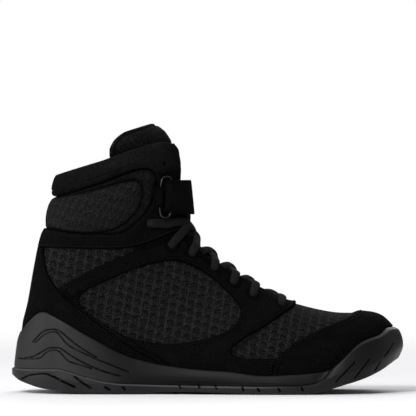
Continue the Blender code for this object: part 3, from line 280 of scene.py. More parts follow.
# Third number of a skin's cloth where it is the lining at the back, and where no groove is near, so no
# painted groove shade falls
LINING_MARK = -20.0
NO_GROOVE = 9.0

# How far from its edge each padded or puffed form takes to reach its full height
CUFF_RISE = 8.0
CUFF_ROLL = 19.0
CUFF_FOOT = 12.0
PAD_RISE = 12.0
WINDOW_RISE = 14.0
TONGUE_ROLL = 4.5

# Play between the pad's edge and its window
PAD_PLAY = 0.1

# Sock liner: rise over the inside of the wall, thickness and play at its sides
BOARD_RISE = 4.0
BOARD_THICKNESS = 3.4
BOARD_PLAY = 0.4

# Rise of the collar's rim above its section, in rows, by distance from the heel
RIM_RISE = (
    (70.0, 0.0), (87.0, 0.07), (97.0, 0.08), (106.0, 0.07), (115.0, 0.05), (122.0, 0.03), (127.0, -0.04),
    (131.0, -0.1),
)

# Middle of the camera's view, and how much larger the outer side looks than the shoe's middle
SIGHT = np.array((149.3, 141.2))
NEARER = 1.014

# Ankle strap, its ring and its tab: heights, widths, slopes and places from the heel
STRAP_MIDDLE = 149.5
STRAP_WIDTH = 26.4
STRAP_THICKNESS = 1.8
PANEL_UNDER_STRAP = 1.4
STRAP_SLOPE = 0.10
RING_SLOPE = -0.04
SHAFT_BACK = 84.0
RING_BACK = 113.0
RING_FRONT = 121.9
FOLD_BACK = 2.9
RING_WIRE = 0.9
RING_FACE = 0.5
RING_HALF_HEIGHT = 15.6
TAB_LENGTH = 4.5
TAB_WIDTH = 16.0
TAB_THICKNESS = 1.1
END_SHORT = 6.0

# Tongue: turn round from its middle in degrees, thickness, and lean back from the front line, by section
TongueRow = namedtuple("TongueRow", "section wrap thickness lean")
TONGUE = (
    TongueRow(6.0, 18.0, 3.0, 1.3),
    TongueRow(7.0, 23.0, 4.0, 0.5),
    TongueRow(9.0, 33.0, 5.0, 0.3),
    TongueRow(11.0, 42.0, 5.5, -0.6),
    TongueRow(12.0, 44.0, 5.5, -2.0),
    TongueRow(13.0, 46.0, 6.0, -2.0),
    TongueRow(14.0, 48.0, 6.0, -1.2),
    TongueRow(17.0, 58.0, 6.5, 1.0),
    TongueRow(19.0, 78.0, 7.0, 0.9),
    TongueRow(20.0, 90.0, 7.5, 1.2),
    TongueRow(20.6, 98.0, 8.0, 5.5),
    TongueRow(21.0, 101.0, 8.5, 9.0),
    TongueRow(21.25, 99.5, 9.0, 5.5),
    TongueRow(21.5, 96.5, 9.0, 2.8),
    TongueRow(21.75, 91.5, 9.0, 2.2),
    TongueRow(22.0, 84.0, 9.0, 2.0),
)


# Smooth curve through the rows of a table at fractional row numbers
def rows_at(values, position):
    values = np.asarray(values, dtype=float)
    position = np.clip(np.atleast_1d(position), 0.0, len(values) - 1.0)
    start = np.minimum(position.astype(int), len(values) - 2)
    share = (position - start)[:, None]
    before = values[np.maximum(start - 1, 0)]
    here = values[start]
    there = values[start + 1]
    after = values[np.minimum(start + 2, len(values) - 1)]
    lean_here = (there - before) / 2.0
    lean_there = (after - here) / 2.0
    square = share * share
    cube = square * share
    return ((2 * cube - 3 * square + 1) * here + (cube - 2 * square + share) * lean_here
            + (3 * square - 2 * cube) * there + (cube - square) * lean_there)


# Points of the last at section numbers and turns.
# A turn of 0 is under the sole, pi is the top line, and what follows goes down the inner side.
def last_points(row, turn):
    section = rows_at(LAST_NUMBERS, row).T
    sole_x, sole_z, top_x, top_z, outer, inner, ridge, widest, low_round, top_round = section[:THROAT_GAP]
    wrapped = np.mod(turn, FULL_CIRCLE)
    on_outer = wrapped <= math.pi
    half = np.where(on_outer, -(outer + ridge), inner - ridge)
    sine = np.abs(np.sin(wrapped))
    cosine = np.cos(wrapped)
    power = np.where(cosine >= 0.0, low_round, top_round)
    reach = (sine ** power + np.abs(cosine) ** power) ** (1.0 / power)
    rise = np.abs(cosine) / reach
    share = np.where(cosine >= 0.0, widest * (1.0 - rise), widest + (1.0 - widest) * rise)
    return np.stack((sole_x + (top_x - sole_x) * share, ridge + half * sine / reach,
                     sole_z + (top_z - sole_z) * share), axis=-1)


# Outward directions of the last's surface
def last_normals(row, turn):
    step = 0.02
    along = last_points(row + step, turn) - last_points(row - step, turn)
    around = last_points(row, turn + step) - last_points(row, turn - step)
    normal = np.cross(around, along)
    return normal / np.maximum(np.linalg.norm(normal, axis=1, keepdims=True), 1e-9)


FAN_ROWS = np.linspace(0.0, len(LAST) - 1.0, 331)
FAN = rows_at(LAST_NUMBERS, FAN_ROWS)


# Section rows and shares of their height at points in side view
def fan_places(x, z):
    x = np.atleast_1d(np.asarray(x, dtype=float))[:, None]
    z = np.atleast_1d(np.asarray(z, dtype=float))[:, None]
    run = FAN[:, TOP_X] - FAN[:, SOLE_X]
    rise = FAN[:, TOP_Z] - FAN[:, SOLE_Z]
    behind = run * (z - FAN[:, SOLE_Z]) - rise * (x - FAN[:, SOLE_X])
    turns = (behind[:, :-1] > 0.0) & (behind[:, 1:] <= 0.0)
    first = turns.argmax(axis=1)
    line = np.arange(len(first))
    share = behind[line, first] / (behind[line, first] - behind[line, first + 1])
    row = FAN_ROWS[first] + share * (FAN_ROWS[1] - FAN_ROWS[0])
    section = FAN[first] + (FAN[first + 1] - FAN[first]) * share[:, None]
    run = section[:, TOP_X] - section[:, SOLE_X]
    rise = section[:, TOP_Z] - section[:, SOLE_Z]
    ahead = x[:, 0] - section[:, SOLE_X]
    above = z[:, 0] - section[:, SOLE_Z]
    height = (ahead * run + above * rise) / (run ** 2 + rise ** 2)
    found = turns.any(axis=1) & (height >= 0.0) & (height <= 1.0)
    return row, section, height, found


# How far across and how far up or down from the widest line a share of the height lies
def shape_at(section, height):
    widest = section[:, WIDEST]
    low = height < widest
    power = np.where(low, section[:, LOW_ROUND], section[:, TOP_ROUND])
    rise = np.clip(np.where(low, (widest - height) / widest, (height - widest) / (1.0 - widest)), 0.0, 1.0)
    return (1.0 - rise ** power) ** (1.0 / power), np.where(low, rise, -rise)


# Section rows and turns of the last's surface at points in side view
def surface_places(x, z, side=OUTER_SIDE):
    row, section, height, found = fan_places(x, z)
    across, rise = shape_at(section, np.clip(height, 0.0, 1.0))
    return row, side * np.arctan2(across, rise), found


# Limits across the last at points in side view
def last_widths(x, z):
    section, height, found = fan_places(x, z)[1:]
    across = shape_at(section, np.clip(height, 0.0, 1.0))[0]
    ridge = section[:, RIDGE]
    low = np.where(found, ridge - (section[:, OUTER] + ridge) * across, np.inf)
    high = np.where(found, ridge + (section[:, INNER] - ridge) * across, -np.inf)
    return low, high


# Points from smooth strokes, closed or open
def stroke_points(strokes, steps=5, closed=True):
    points = []
    for stroke in strokes:
        count = (len(stroke) - 1) * (steps if len(stroke) > 2 else 1)
        points.extend(rows_at(stroke, np.linspace(0.0, len(stroke) - 1.0, count + 1))[:-1])
    if not closed:
        points.append(strokes[-1][-1])
    return np.array(points, dtype=float)


# Points on the side nearer to the camera, from where the camera sees them against the shoe's middle
def near_side(points):
    return SIGHT + (np.asarray(points, dtype=float) - SIGHT) / NEARER


# Directions of length 1
def unit(vectors):
    return vectors / np.linalg.norm(vectors, axis=-1, keepdims=True)


# Length of a path from its start to each of its points
def running_length(points):
    return np.concatenate(((0.0,), np.cumsum(np.linalg.norm(np.diff(points, axis=0), axis=1))))


# Distance to a line for points in side view
def line_distance(points, line):
    edges = line[1:] - line[:-1]
    lengths = np.linalg.norm(edges, axis=1)
    near = np.full(len(points), np.inf)
    for corner, edge, length in zip(line[:-1], edges, lengths):
        offset = points - corner
        share = np.clip((offset @ edge) / max(length * length, 1e-12), 0.0, 1.0)
        near = np.minimum(near, np.hypot(offset[:, 0] - share * edge[0], offset[:, 1] - share * edge[1]))
    return near


# Distance inside a closed outline, negative outside, for points in side view
def depth_inside(points, border):
    near = line_distance(points, np.concatenate((border, border[:1])))
    inside = np.zeros(len(points), dtype=bool)
    for here, ahead in zip(border, np.roll(border, -1, axis=0)):
        if here[1] == ahead[1]:
            continue
        crosses = (here[1] > points[:, 1]) != (ahead[1] > points[:, 1])
        reach = here[0] + (points[:, 1] - here[1]) * (ahead[0] - here[0]) / (ahead[1] - here[1])
        inside ^= crosses & (points[:, 0] < reach)
    return np.where(inside, near, -near)


# Share from 0 to 1 that rises smoothly between two values
def ease(value, low, high):
    share = np.clip((value - low) / (high - low), 0.0, 1.0)
    return share * share * (3.0 - 2.0 * share)


# Share that rises smoothly between the first two of four values and falls between the last two
def plateau(value, stops):
    return ease(value, *stops[:2]) * (1.0 - ease(value, *stops[2:]))


# Quarter-round rise from an edge
def rounded(depth, radius):
    share = np.clip(depth / radius, 0.0, 1.0)
    return np.sqrt(1.0 - (1.0 - share) ** 2)


# Lesser of two depths, with the corner between them rounded
def round_corner(first, second, radius):
    inside = radius - np.hypot(np.maximum(radius - first, 0.0), np.maximum(radius - second, 0.0))
    return np.where((first < radius) & (second < radius), inside, np.minimum(first, second))


# Distance below the collar's rim, which swings a little towards the front
def rim_depth(row, points):
    rise = np.interp(points[:, 0], *np.array(RIM_RISE).T)
    return (ROW["collar"] + rise - row) * RIM_ROW_HEIGHT


# Distance outside the open throat and beyond its front end
def throat_depth(row, turn, points):
    section = rows_at(LAST_NUMBERS, row)
    front = rows_at(LAST_NUMBERS, THROAT_START)[0][TOP_X]
    aside = np.abs(points[:, 1] - section[:, RIDGE]) - section[:, THROAT_GAP]
    ahead = points[:, 0] - front
    aside += THROAT_CORNER
    ahead += THROAT_CORNER
    depth = np.hypot(np.maximum(aside, 0.0), np.maximum(ahead, 0.0)) - THROAT_CORNER
    depth += np.minimum(np.maximum(aside, ahead), 0.0)
    return np.where(np.cos(turn) < 0.2, depth, FAR_AWAY)


# Distance from the edge of throat and collar, with the cuff's front corner rounded
def opening_depth(row, turn, points):
    return round_corner(throat_depth(row, turn, points), rim_depth(row, points), CUFF_CORNER)


# Distance outside the punched eyelets
def eyelet_depth(points, radius):
    depth = np.full(len(points), FAR_AWAY)
    for side in BOTH_SIDES:
        row, turn = surface_places(*np.array(EYELETS).T, side)[:2]
        for centre in last_points(row, turn):
            depth = np.minimum(depth, np.linalg.norm(points - centre, axis=1) - radius)
    return depth


def sizes():
    return bpy.context.scene.shoe_sizes


def colours():
    return bpy.context.scene.shoe_colours


# Selects nothing, then starts a piece from a plain grid
def start_grid(name, columns, rows):
    bpy.ops.object.select_all(action="DESELECT")
    bpy.ops.mesh.primitive_grid_add(x_subdivisions=columns, y_subdivisions=rows, size=1.0)
    piece = bpy.context.object
    piece.name = name
    piece.data.name = name
    return piece


# Splits the faces of a work mesh along the line where its depth layer has one value
def cut_along(work, layer, level):
    near_enough = 0.04
    for vertex in work.verts:
        if abs(vertex[layer] - level) < near_enough:
            vertex[layer] = level
    for edge in list(work.edges):
        first, second = edge.verts
        before = first[layer] - level
        after = second[layer] - level
        if before * after < 0.0:
            fresh = bmesh.utils.edge_split(edge, first, before / (before - after))[1]
            fresh[layer] = level
    for face in list(work.faces):
        on_line = [vertex for vertex in face.verts if vertex[layer] == level]
        values = [vertex[layer] - level for vertex in face.verts]
        if len(on_line) == 2 and min(values) < 0.0 < max(values):
            bmesh.utils.face_split(face, on_line[0], on_line[1])


# Closes a skin into a thin solid with its back at the places of a layer, marked as lining
def thicken(work, back, cloth):
    front = list(work.faces)
    rims = [edge for edge in work.edges if len(edge.link_faces) == 1]
    twins = {}
    for vertex in list(work.verts):
        twins[vertex] = work.verts.new(vertex[back], vertex)
        twins[vertex][cloth].z = LINING_MARK
    for face in front:
        work.faces.new([twins[vertex] for vertex in reversed(face.verts)])
    for edge in rims:
        loop = edge.link_loops[0]
        first = loop.vert
        second = loop.link_loop_next.vert
        work.faces.new((second, first, twins[first], twins[second]))


# Turns a grid whose vertices hold two numbers into a solid skin, cut to where its depth is positive.
# depth_of gives the depth for the two numbers, and place_of gives front, back and cloth places.
# mark_of, where it is given, is a second number whose levels are cut as well.
def shaped_skin(name, first_stops, second_stops, depth_of, place_of, levels, mark_of=None, mark_levels=()):
    piece = start_grid(name, len(first_stops) - 1, len(second_stops) - 1)
    work = bmesh.new()
    work.from_mesh(piece.data)
    depth_layer = work.verts.layers.float.new("edge")
    cloth_layer = work.verts.layers.float_vector.new("cloth")
    back_layer = work.verts.layers.float_vector.new("back")
    place = np.array([vertex.co[:2] for vertex in work.verts]) + 0.5
    first = np.interp(place[:, 0], np.linspace(0.0, 1.0, len(first_stops)), first_stops)
    second = np.interp(place[:, 1], np.linspace(0.0, 1.0, len(second_stops)), second_stops)
    for vertex, one, two, depth in zip(work.verts, first, second, depth_of(first, second)):
        vertex.co = (one, two, 0.0)
        vertex[depth_layer] = depth
    for level in levels:
        cut_along(work, depth_layer, level)
    outside = [face for face in work.faces if min(vertex[depth_layer] for vertex in face.verts) < levels[0]]
    bmesh.ops.delete(work, geom=outside, context="FACES")
    if mark_of is not None:
        mark_layer = work.verts.layers.float.new("mark")
        numbers = np.array([vertex.co[:2] for vertex in work.verts])
        for vertex, mark in zip(work.verts, mark_of(numbers[:, 0], numbers[:, 1])):
            vertex[mark_layer] = mark
        for level in mark_levels:
            cut_along(work, mark_layer, level)
        work.verts.layers.float.remove(mark_layer)
        depth_layer = work.verts.layers.float["edge"]
        cloth_layer = work.verts.layers.float_vector["cloth"]
        back_layer = work.verts.layers.float_vector["back"]
    numbers = np.array([vertex.co[:2] for vertex in work.verts])
    depth = np.array([vertex[depth_layer] for vertex in work.verts])
    front, back, cloth = place_of(numbers[:, 0], numbers[:, 1], depth)
    front = front * MM - TABLE_MIDDLE
    back = back * MM - TABLE_MIDDLE
    for vertex, here, behind, mark in zip(work.verts, front, back, cloth):
        vertex.co = here
        vertex[back_layer] = behind
        vertex[cloth_layer] = mark
    bmesh.ops.remove_doubles(work, verts=work.verts, dist=FINE_MERGE)
    bmesh.ops.reverse_faces(work, faces=work.faces[:])
    thicken(work, back_layer, cloth_layer)
    work.verts.layers.float_vector.remove(back_layer)
    work.to_mesh(piece.data)
    work.free()
    return piece


# Panel lasted onto the upper's own surface
def lasted_panel(name, rows, turns, depth_of, lift_of, floor, levels=(0.0, 0.45, 1.0), cloth_of=None):
    def depth_at(row, turn):
        return depth_of(row, turn, last_points(row, turn))

    def place_at(row, turn, depth):
        points = last_points(row, turn)
        normals = last_normals(row, turn)
        lift = np.asarray(lift_of(row, turn, depth, points))
        base = floor(row, points) if callable(floor) else np.broadcast_to(floor, lift.shape)
        cloth = points if cloth_of is None else cloth_of(row, turn, points)
        return points + normals * lift[:, None], points + normals * base[:, None], cloth

    return shaped_skin(name, rows, turns, depth_at, place_at, levels)


# Smooth shading, material, body and the solids that a piece stands for
def settle(piece, material, slot, *nodes, crease=50.0):
    piece.data.materials.clear()
    piece.data.materials.append(material)
    bpy.ops.object.select_all(action="DESELECT")
    piece.select_set(True)
    bpy.context.view_layer.objects.active = piece
    bpy.ops.object.shade_smooth_by_angle(angle=math.radians(crease), keep_sharp_edges=False)
    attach(piece, "root")
    if nodes:
        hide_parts(*nodes)
    return piece


# Plan rays of one side of the sole: q runs 0 to 1 round the heel, to 2 along the side and to 3 round the toe
def sole_rays(q, side):
    heel = np.array(HEEL_CENTRE)
    toe = np.array(TOE_CENTRE)
    turn = np.where(q < 1.0, q, np.clip(3.0 - q, 0.0, 1.0)) * math.pi / 2.0
    share = np.clip(q - 1.0, 0.0, 1.0)[:, None]
    origin = heel + (toe - heel) * share
    forward = np.where(q < 1.0, -np.cos(turn), np.where(q > 2.0, np.cos(turn), 0.0))
    sideways = np.where((q >= 1.0) & (q <= 2.0), 1.0, np.sin(turn))
    return origin, np.stack((forward, -side * sideways), axis=1)


# Distance from plan points along directions to the last's surface at given heights
def reach_to_last(origin, direction, z):
    near = np.zeros(len(z))
    far = np.full(len(z), FARTHEST_REACH)
    for halving in range(16):
        middle = (near + far) / 2.0
        spot = origin + direction * middle[:, None]
        low, high = last_widths(spot[:, 0], z)
        inside = (spot[:, 1] > low) & (spot[:, 1] < high)
        near = np.where(inside, middle, near)
        far = np.where(inside, far, middle)
    return near


# Smooth heights of the sole's underside and rim at a distance from the heel
def sole_heights(x):
    table = np.array([(line.x, line.under, line.rim) for line in SOLE])
    place = np.interp(x, table[:, 0], np.arange(len(table)))
    under, rim = rows_at(table[:, 1:], place).T
    plain = np.interp(x, table[:, 0], table[:, 1])
    under = np.maximum(np.minimum(under, plain + 0.3), 0.0)
    return under, rim + (SIGHT[1] - rim) * (1.0 - 1.0 / NEARER) * plateau(x, NEAR_SPAN)


# Stops from run to run, each with its first and last value and its number of steps
def spaced(*runs):
    return np.concatenate([np.linspace(first, last, count, endpoint=False) for first, last, count in runs]
                          + [np.array((runs[-1][1],))])


RIM_STEPS = 17
COARSE_Q = spaced((0.0, 1.0, 12), (1.0, 2.0, 36), (2.0, 3.0, 14))


# Reach of the sole's wall on one side, for coarse rays and even steps of height, with under and rim heights
def wall_table(side):
    origin, direction = sole_rays(COARSE_Q, side)
    low = np.max([reach_to_last(origin, direction, np.full(len(COARSE_Q), height))
                  for height in SEAT_HEIGHTS], axis=0)
    x = origin[:, 0] + direction[:, 0] * (low + SOLE_FLARE)
    under, rim = sole_heights(x)
    toe_bevel = TOE_BEVEL * np.clip((x - TOE_BEVEL_START) / TOE_BEVEL_RUN, 0.0, 1.0)
    heel_lean = HEEL_LEAN * plateau(x, HEEL_LEAN_SPAN)
    reaches = []
    for step in np.linspace(0.0, 1.0, RIM_STEPS):
        z = under + (rim - under) * step
        share = np.clip((z - under - SEAT_RISE) / np.maximum(rim - under - SEAT_RISE, 0.5), 0.0, 1.0)
        foot = np.clip((z - under) / TOE_BEVEL_HEIGHT, 0.0, 1.0)
        wall = SOLE_FLARE + (SOLE_LIP - SOLE_FLARE) * share - toe_bevel * (1.0 - foot) ** 1.6
        wall += heel_lean * (1.0 - share)
        reaches.append((reach_to_last(origin, direction, np.maximum(z, under + SEAT_RISE)), wall))
    reaches = np.array(reaches)
    widest = np.maximum.accumulate(reaches[::-1, 0], axis=0)[::-1]
    reaches = np.where(widest > 1.0, widest, low) + reaches[:, 1]
    return reaches.T, np.stack((under, rim), axis=1)


WALLS = {side: wall_table(side) for side in BOTH_SIDES}


# Outer side of the sole: plan reach and height at rays and shares of the wall's height
def wall_places(q, share, side):
    reaches, limits = WALLS[side]
    place = np.interp(q, COARSE_Q, np.arange(len(COARSE_Q)))
    columns = rows_at(reaches, place)
    under, rim = rows_at(limits, place).T
    step = np.clip(share, 0.0, 1.0) * (RIM_STEPS - 1)
    low = np.minimum(step.astype(int), RIM_STEPS - 2)
    line = np.arange(len(q))
    part = step - low
    reach = columns[line, low] * (1.0 - part) + columns[line, low + 1] * part
    under = np.maximum(under, 0.0)
    return reach, under + (rim - under) * np.clip(share, 0.0, 1.0)


# Height of the sole's rim where it passes a distance from the heel
def rim_heights(points):
    height = np.zeros(len(points))
    q = np.linspace(0.0, 3.0, 300)
    for side in BOTH_SIDES:
        reach, z = wall_places(q, np.ones(len(q)), side)
        origin, direction = sole_rays(q, side)
        x = np.maximum.accumulate(origin[:, 0] + direction[:, 0] * (reach - SOLE_LIP))
        here = np.interp(points[:, 0], x, z)
        on_side = points[:, 1] <= 0.0 if side == OUTER_SIDE else points[:, 1] > 0.0
        height = np.where(on_side, here, height)
    return height


# Adds a node with its settings, and with inputs that are values or other nodes' outputs
def add_node(tree, kind, values=None, **settings):
    node = tree.nodes.new(kind)
    for key, value in settings.items():
        setattr(node, key, value)
    for key, value in (values or {}).items():
        if isinstance(value, bpy.types.NodeSocket):
            tree.links.new(value, node.inputs[key])
        else:
            node.inputs[key].default_value = value
    return node


# Material with one plain shader to build on
def start_material(name, colour, roughness, specular):
    material = bpy.data.materials.new(name)
    material.use_nodes = True
    shader = material.node_tree.nodes["Principled BSDF"]
    shader.inputs["Base Color"].default_value = (*colour, 1.0)
    shader.inputs["Roughness"].default_value = roughness
    shader.inputs["Specular IOR Level"].default_value = specular
    return material, material.node_tree, shader


# Place on a piece, in the shoe's own frame
def object_place(tree):
    return add_node(tree, "ShaderNodeTexCoord").outputs["Object"]


# Output of an attribute that the points of a piece carry
def attribute(tree, name, output):
    return add_node(tree, "ShaderNodeAttribute", attribute_name=name).outputs[output]


# One number of a vector
def number_of(tree, vector, axis):
    return add_node(tree, "ShaderNodeSeparateXYZ", {"Vector": vector}).outputs[axis]


# Noise at a place, as a number
def noise(tree, place, scale, detail, roughness=0.5):
    return add_node(tree, "ShaderNodeTexNoise", {
        "Vector": place, "Scale": scale, "Detail": detail, "Roughness": roughness}).outputs["Fac"]


# Number that runs from start to end while a value runs from low to high
def remap(tree, value, low, high, start=0.0, end=1.0, smooth=False):
    return add_node(tree, "ShaderNodeMapRange", {
        "Value": value, "From Min": low, "From Max": high, "To Min": start, "To Max": end},
        interpolation_type="SMOOTHSTEP" if smooth else "LINEAR").outputs["Result"]


# Adds a math node, with each value a number or another node's output
def calc(tree, operation, *values):
    return add_node(tree, "ShaderNodeMath", dict(enumerate(values)), operation=operation).outputs["Value"]


# A colour made darker or lighter, with its alpha
def toned(colour, gain):
    return (*(channel * gain for channel in colour), 1.0)


# Colour between a darker and a lighter tone, by a number
def tone_ramp(tree, value, colour, dark, light):
    ramp = add_node(tree, "ShaderNodeValToRGB", {"Fac": value})
    for element, position, gain in zip(ramp.color_ramp.elements, (0.3, 0.7), (dark, light)):
        element.position = position
        element.color = toned(colour, gain)
    return ramp.outputs["Color"]


# Bump from a height into the shader, over another bump where one is given
def add_bump(tree, shader, height, strength, distance, under=None):
    values = {"Height": height, "Strength": strength, "Distance": distance}
    if under is not None:
        values["Normal"] = under
    bump = add_node(tree, "ShaderNodeBump", values).outputs["Normal"]
    tree.links.new(bump, shader.inputs["Normal"])
    return bump


# 1 within a half width of a middle value, falling to 0 over a soft edge
def window(tree, value, middle, half, soft):
    away = calc(tree, "ABSOLUTE", calc(tree, "SUBTRACT", value, middle))
    return remap(tree, away, half + soft, half - soft, smooth=True)


# Cosine of a value, with a number of turns to each whole step
def wave(tree, value, turns):
    return calc(tree, "COSINE", calc(tree, "MULTIPLY", value, turns * FULL_CIRCLE))


# Painted shade that darkens a piece towards its edge, where the gap to the next panel lies in shadow, and
# dark lines at distances from the edge along the sewn rows, partly the stitches and partly painted shade in
# their grooves
def edge_shade(tree, edge_shade_tone, lines):
    edge = attribute(tree, "edge", "Fac")
    shade = remap(tree, edge, 0.0, 1.0, edge_shade_tone, 1.0)
    for line in lines:
        sewn_shade = calc(tree, "MULTIPLY_ADD", window(tree, edge, line, 0.5, 0.3), -0.9, 1.0)
        shade = calc(tree, "MULTIPLY", shade, sewn_shade)
    return shade


# Colour scaled by a number output, into the shader's base colour
def shaded_colour(tree, shader, colour, shade):
    scaled = add_node(tree, "ShaderNodeVectorMath", {0: colour, "Scale": shade}, operation="SCALE")
    tree.links.new(scaled.outputs["Vector"], shader.inputs["Base Color"])


# Napped suede: cloudy tone, fine nap, painted shade round the edge of each panel where the gap to the next
# lies in shadow, and dark sewn lines, partly stitches and partly painted shade in their grooves.
# Above the given height, where one is given, the suede is painted lighter: painted light from above on the
# cuff's top.
def suede_material(name, colour, specular=0.03, lines=(SEAM_NEAR, SEAM_FAR), edge_shade_tone=0.2, top_light_height=None):
    material, tree, shader = start_material(name, colour, 0.95, specular)
    place = object_place(tree)
    clouds = noise(tree, place, 85.0, 4.0, 0.65)
    nap = noise(tree, place, 1700.0, 2.0)
    fleck = calc(tree, "MULTIPLY_ADD", noise(tree, place, 700.0, 2.0, 0.6), 2.4, -0.2)
    shade = calc(tree, "MULTIPLY", edge_shade(tree, edge_shade_tone, lines), fleck)
    # Painted light: the top of the cuff is made lighter, as if lit from above
    if top_light_height:
        height = number_of(tree, place, "Z")
        top_light_gain = remap(tree, height, top_light_height - 0.014, top_light_height + 0.012, 1.0, 2.4)
        shade = calc(tree, "MULTIPLY", shade, top_light_gain)
    shaded_colour(tree, shader, tone_ramp(tree, clouds, colour, 0.72, 1.32), shade)
    waves = add_bump(tree, shader, clouds, 0.35, 0.0016)
    add_bump(tree, shader, nap, 0.5, 0.00025, waves)
    return material


# Spacer knit: slanted cells, each an arch of openings between raised wales, and a fine loop pattern.
# The third number of its cloth paints shade into grooves and marks the plain lining.
def mesh_material(name, colour, cell, row, contrast):
    material, tree, shader = start_material(name, colour, 0.85, 0.06)
    cloth = attribute(tree, "cloth", "Vector")
    wobble = add_node(tree, "ShaderNodeTexNoise", {"Vector": cloth, "Scale": 0.5, "Detail": 1.0})
    place = add_node(tree, "ShaderNodeVectorMath", {0: wobble.outputs["Color"], 1: (1.4, 1.4, 0.0), 2: cloth},
                     operation="MULTIPLY_ADD").outputs["Vector"]
    steps = []
    for across, upward in ((0.948 / cell, -0.147 / cell), (0.334 / row, 0.948 / row)):
        step = add_node(tree, "ShaderNodeVectorMath", {0: place, 1: (across, upward, 0.0)},
                        operation="DOT_PRODUCT")
        steps.append(step.outputs["Value"])
    along = calc(tree, "FRACT", steps[0])
    down = calc(tree, "SUBTRACT", 1.0, calc(tree, "FRACT", steps[1]))
    slant = calc(tree, "MULTIPLY_ADD", along, 0.31, down)
    bar = calc(tree, "MULTIPLY", window(tree, slant, 0.45, 0.08, 0.06), window(tree, along, 0.5, 0.33, 0.06))
    legs = calc(tree, "MAXIMUM", window(tree, along, 0.2, 0.06, 0.05), window(tree, along, 0.8, 0.05, 0.05))
    legs = calc(tree, "MULTIPLY", legs, window(tree, down, 0.58, 0.24, 0.08))
    opening = calc(tree, "MAXIMUM", bar, legs)
    wales, courses = [wave(tree, step, 1.0) for step in steps]
    ridge = calc(tree, "MULTIPLY_ADD", courses, 0.07, calc(tree, "MULTIPLY", wales, 0.2))
    loop = calc(tree, "MULTIPLY", *[wave(tree, step, 4.0) for step in steps])
    yarn = noise(tree, cloth, 1.25, 2.0, 0.6)
    body = calc(tree, "MULTIPLY_ADD", loop, 0.7, calc(tree, "MULTIPLY_ADD", ridge, contrast, 1.0))
    relief = calc(tree, "SUBTRACT", body, calc(tree, "MULTIPLY", opening, 0.55 * contrast))
    tone = calc(tree, "MULTIPLY", relief, calc(tree, "MULTIPLY_ADD", yarn, 7.0, -2.5))
    mark = number_of(tree, cloth, "Z")
    # Painted shade: the knit darkens where the third number is small, near a groove
    knit = calc(tree, "MULTIPLY", calc(tree, "MAXIMUM", tone, 0.15), remap(tree, mark, 0.2, 1.9, 0.15, 1.0))
    lined = calc(tree, "LESS_THAN", mark, LINING_MARK / 2.0)
    knit = calc(tree, "MULTIPLY", knit, calc(tree, "SUBTRACT", 1.0, lined))
    shaded_colour(tree, shader, tuple(colour), calc(tree, "MULTIPLY_ADD", lined, 0.4, knit))
    fine = add_bump(tree, shader, yarn, 0.5, 0.0003)
    add_bump(tree, shader, relief, 0.8, 0.0006, fine)
    return material


# Braid of the lace and weave of the sock liner: short crossed yarns on the piece's own cloth places
def braid_material(name, colour, yarn_length, yarn_width):
    material, tree, shader = start_material(name, colour, 0.8, 0.08)
    yarns = add_node(tree, "ShaderNodeTexBrick", {
        "Vector": attribute(tree, "cloth", "Vector"), "Scale": 1.0, "Mortar Size": yarn_width * 0.18,
        "Mortar Smooth": 0.9, "Brick Width": yarn_length, "Row Height": yarn_width,
        "Color1": toned(colour, 0.85), "Color2": toned(colour, 1.5), "Mortar": toned(colour, 0.35)})
    tree.links.new(yarns.outputs["Color"], shader.inputs["Base Color"])
    add_bump(tree, shader, calc(tree, "SUBTRACT", 1.0, yarns.outputs["Fac"]), 0.6, 0.0003)
    return material


# Moulded rubber: faint cloudy tone, fine eggshell face, painted shade in its grooves and along the joint, and
# by gains painted highlights round the heel and along the outsole's ledge at the joint, and painted light on
# the forefoot
def rubber_material(name, colour, roughness, specular, heel_highlight_gain=1.0, fore_light_gain=1.0, joint_highlight_gain=1.0):
    material, tree, shader = start_material(name, colour, roughness, specular)
    place = object_place(tree)
    clouds = noise(tree, place, 45.0, 3.0)
    forward = number_of(tree, place, "X")
    # Painted highlight round the heel, and painted light that makes the forefoot lighter
    heel = remap(tree, forward, -0.066, -0.112, 1.0, heel_highlight_gain, smooth=True)
    fore_light = remap(tree, forward, 0.0, 0.03, 1.0, fore_light_gain, smooth=True)
    # Painted highlight along the outsole's ledge at the joint, fading out towards the toe
    ledge_highlight = remap(tree, attribute(tree, "edge", "Fac"), 1.5, 0.8, smooth=True)
    highlight_behind_toe = remap(tree, forward, 0.07, 0.03, 0.0, joint_highlight_gain - 1.0, smooth=True)
    # Painted shade in the grooves and along the joint, from the first number of the cloth
    shade = remap(tree, number_of(tree, attribute(tree, "cloth", "Vector"), "X"), 0.3, 1.0, 0.2, 1.0)
    for gain in (heel, fore_light, calc(tree, "MULTIPLY_ADD", ledge_highlight, highlight_behind_toe, 1.0)):
        shade = calc(tree, "MULTIPLY", shade, gain)
    shaded_colour(tree, shader, tone_ramp(tree, clouds, colour, 0.85, 1.15), shade)
    rough = remap(tree, clouds, 0.0, 1.0, roughness - 0.06, roughness + 0.08)
    tree.links.new(rough, shader.inputs["Roughness"])
    add_bump(tree, shader, noise(tree, place, 1300.0, 2.0), 0.12, 0.0002)
    return material


# Pale paper floor that fades into the backdrop at its edge
def floor_material(name, colour):
    material, tree, shader = start_material(name, colour, 0.7, 0.1)
    place = object_place(tree)
    paper = tone_ramp(tree, noise(tree, place, 500.0, 2.0), colour, 0.99, 1.0)
    tree.links.new(paper, shader.inputs["Base Color"])
    reach = add_node(tree, "ShaderNodeVectorMath", {0: place}, operation="LENGTH").outputs["Value"]
    tree.links.new(remap(tree, reach, 1.5, 0.55, smooth=True), shader.inputs["Alpha"])
    return material


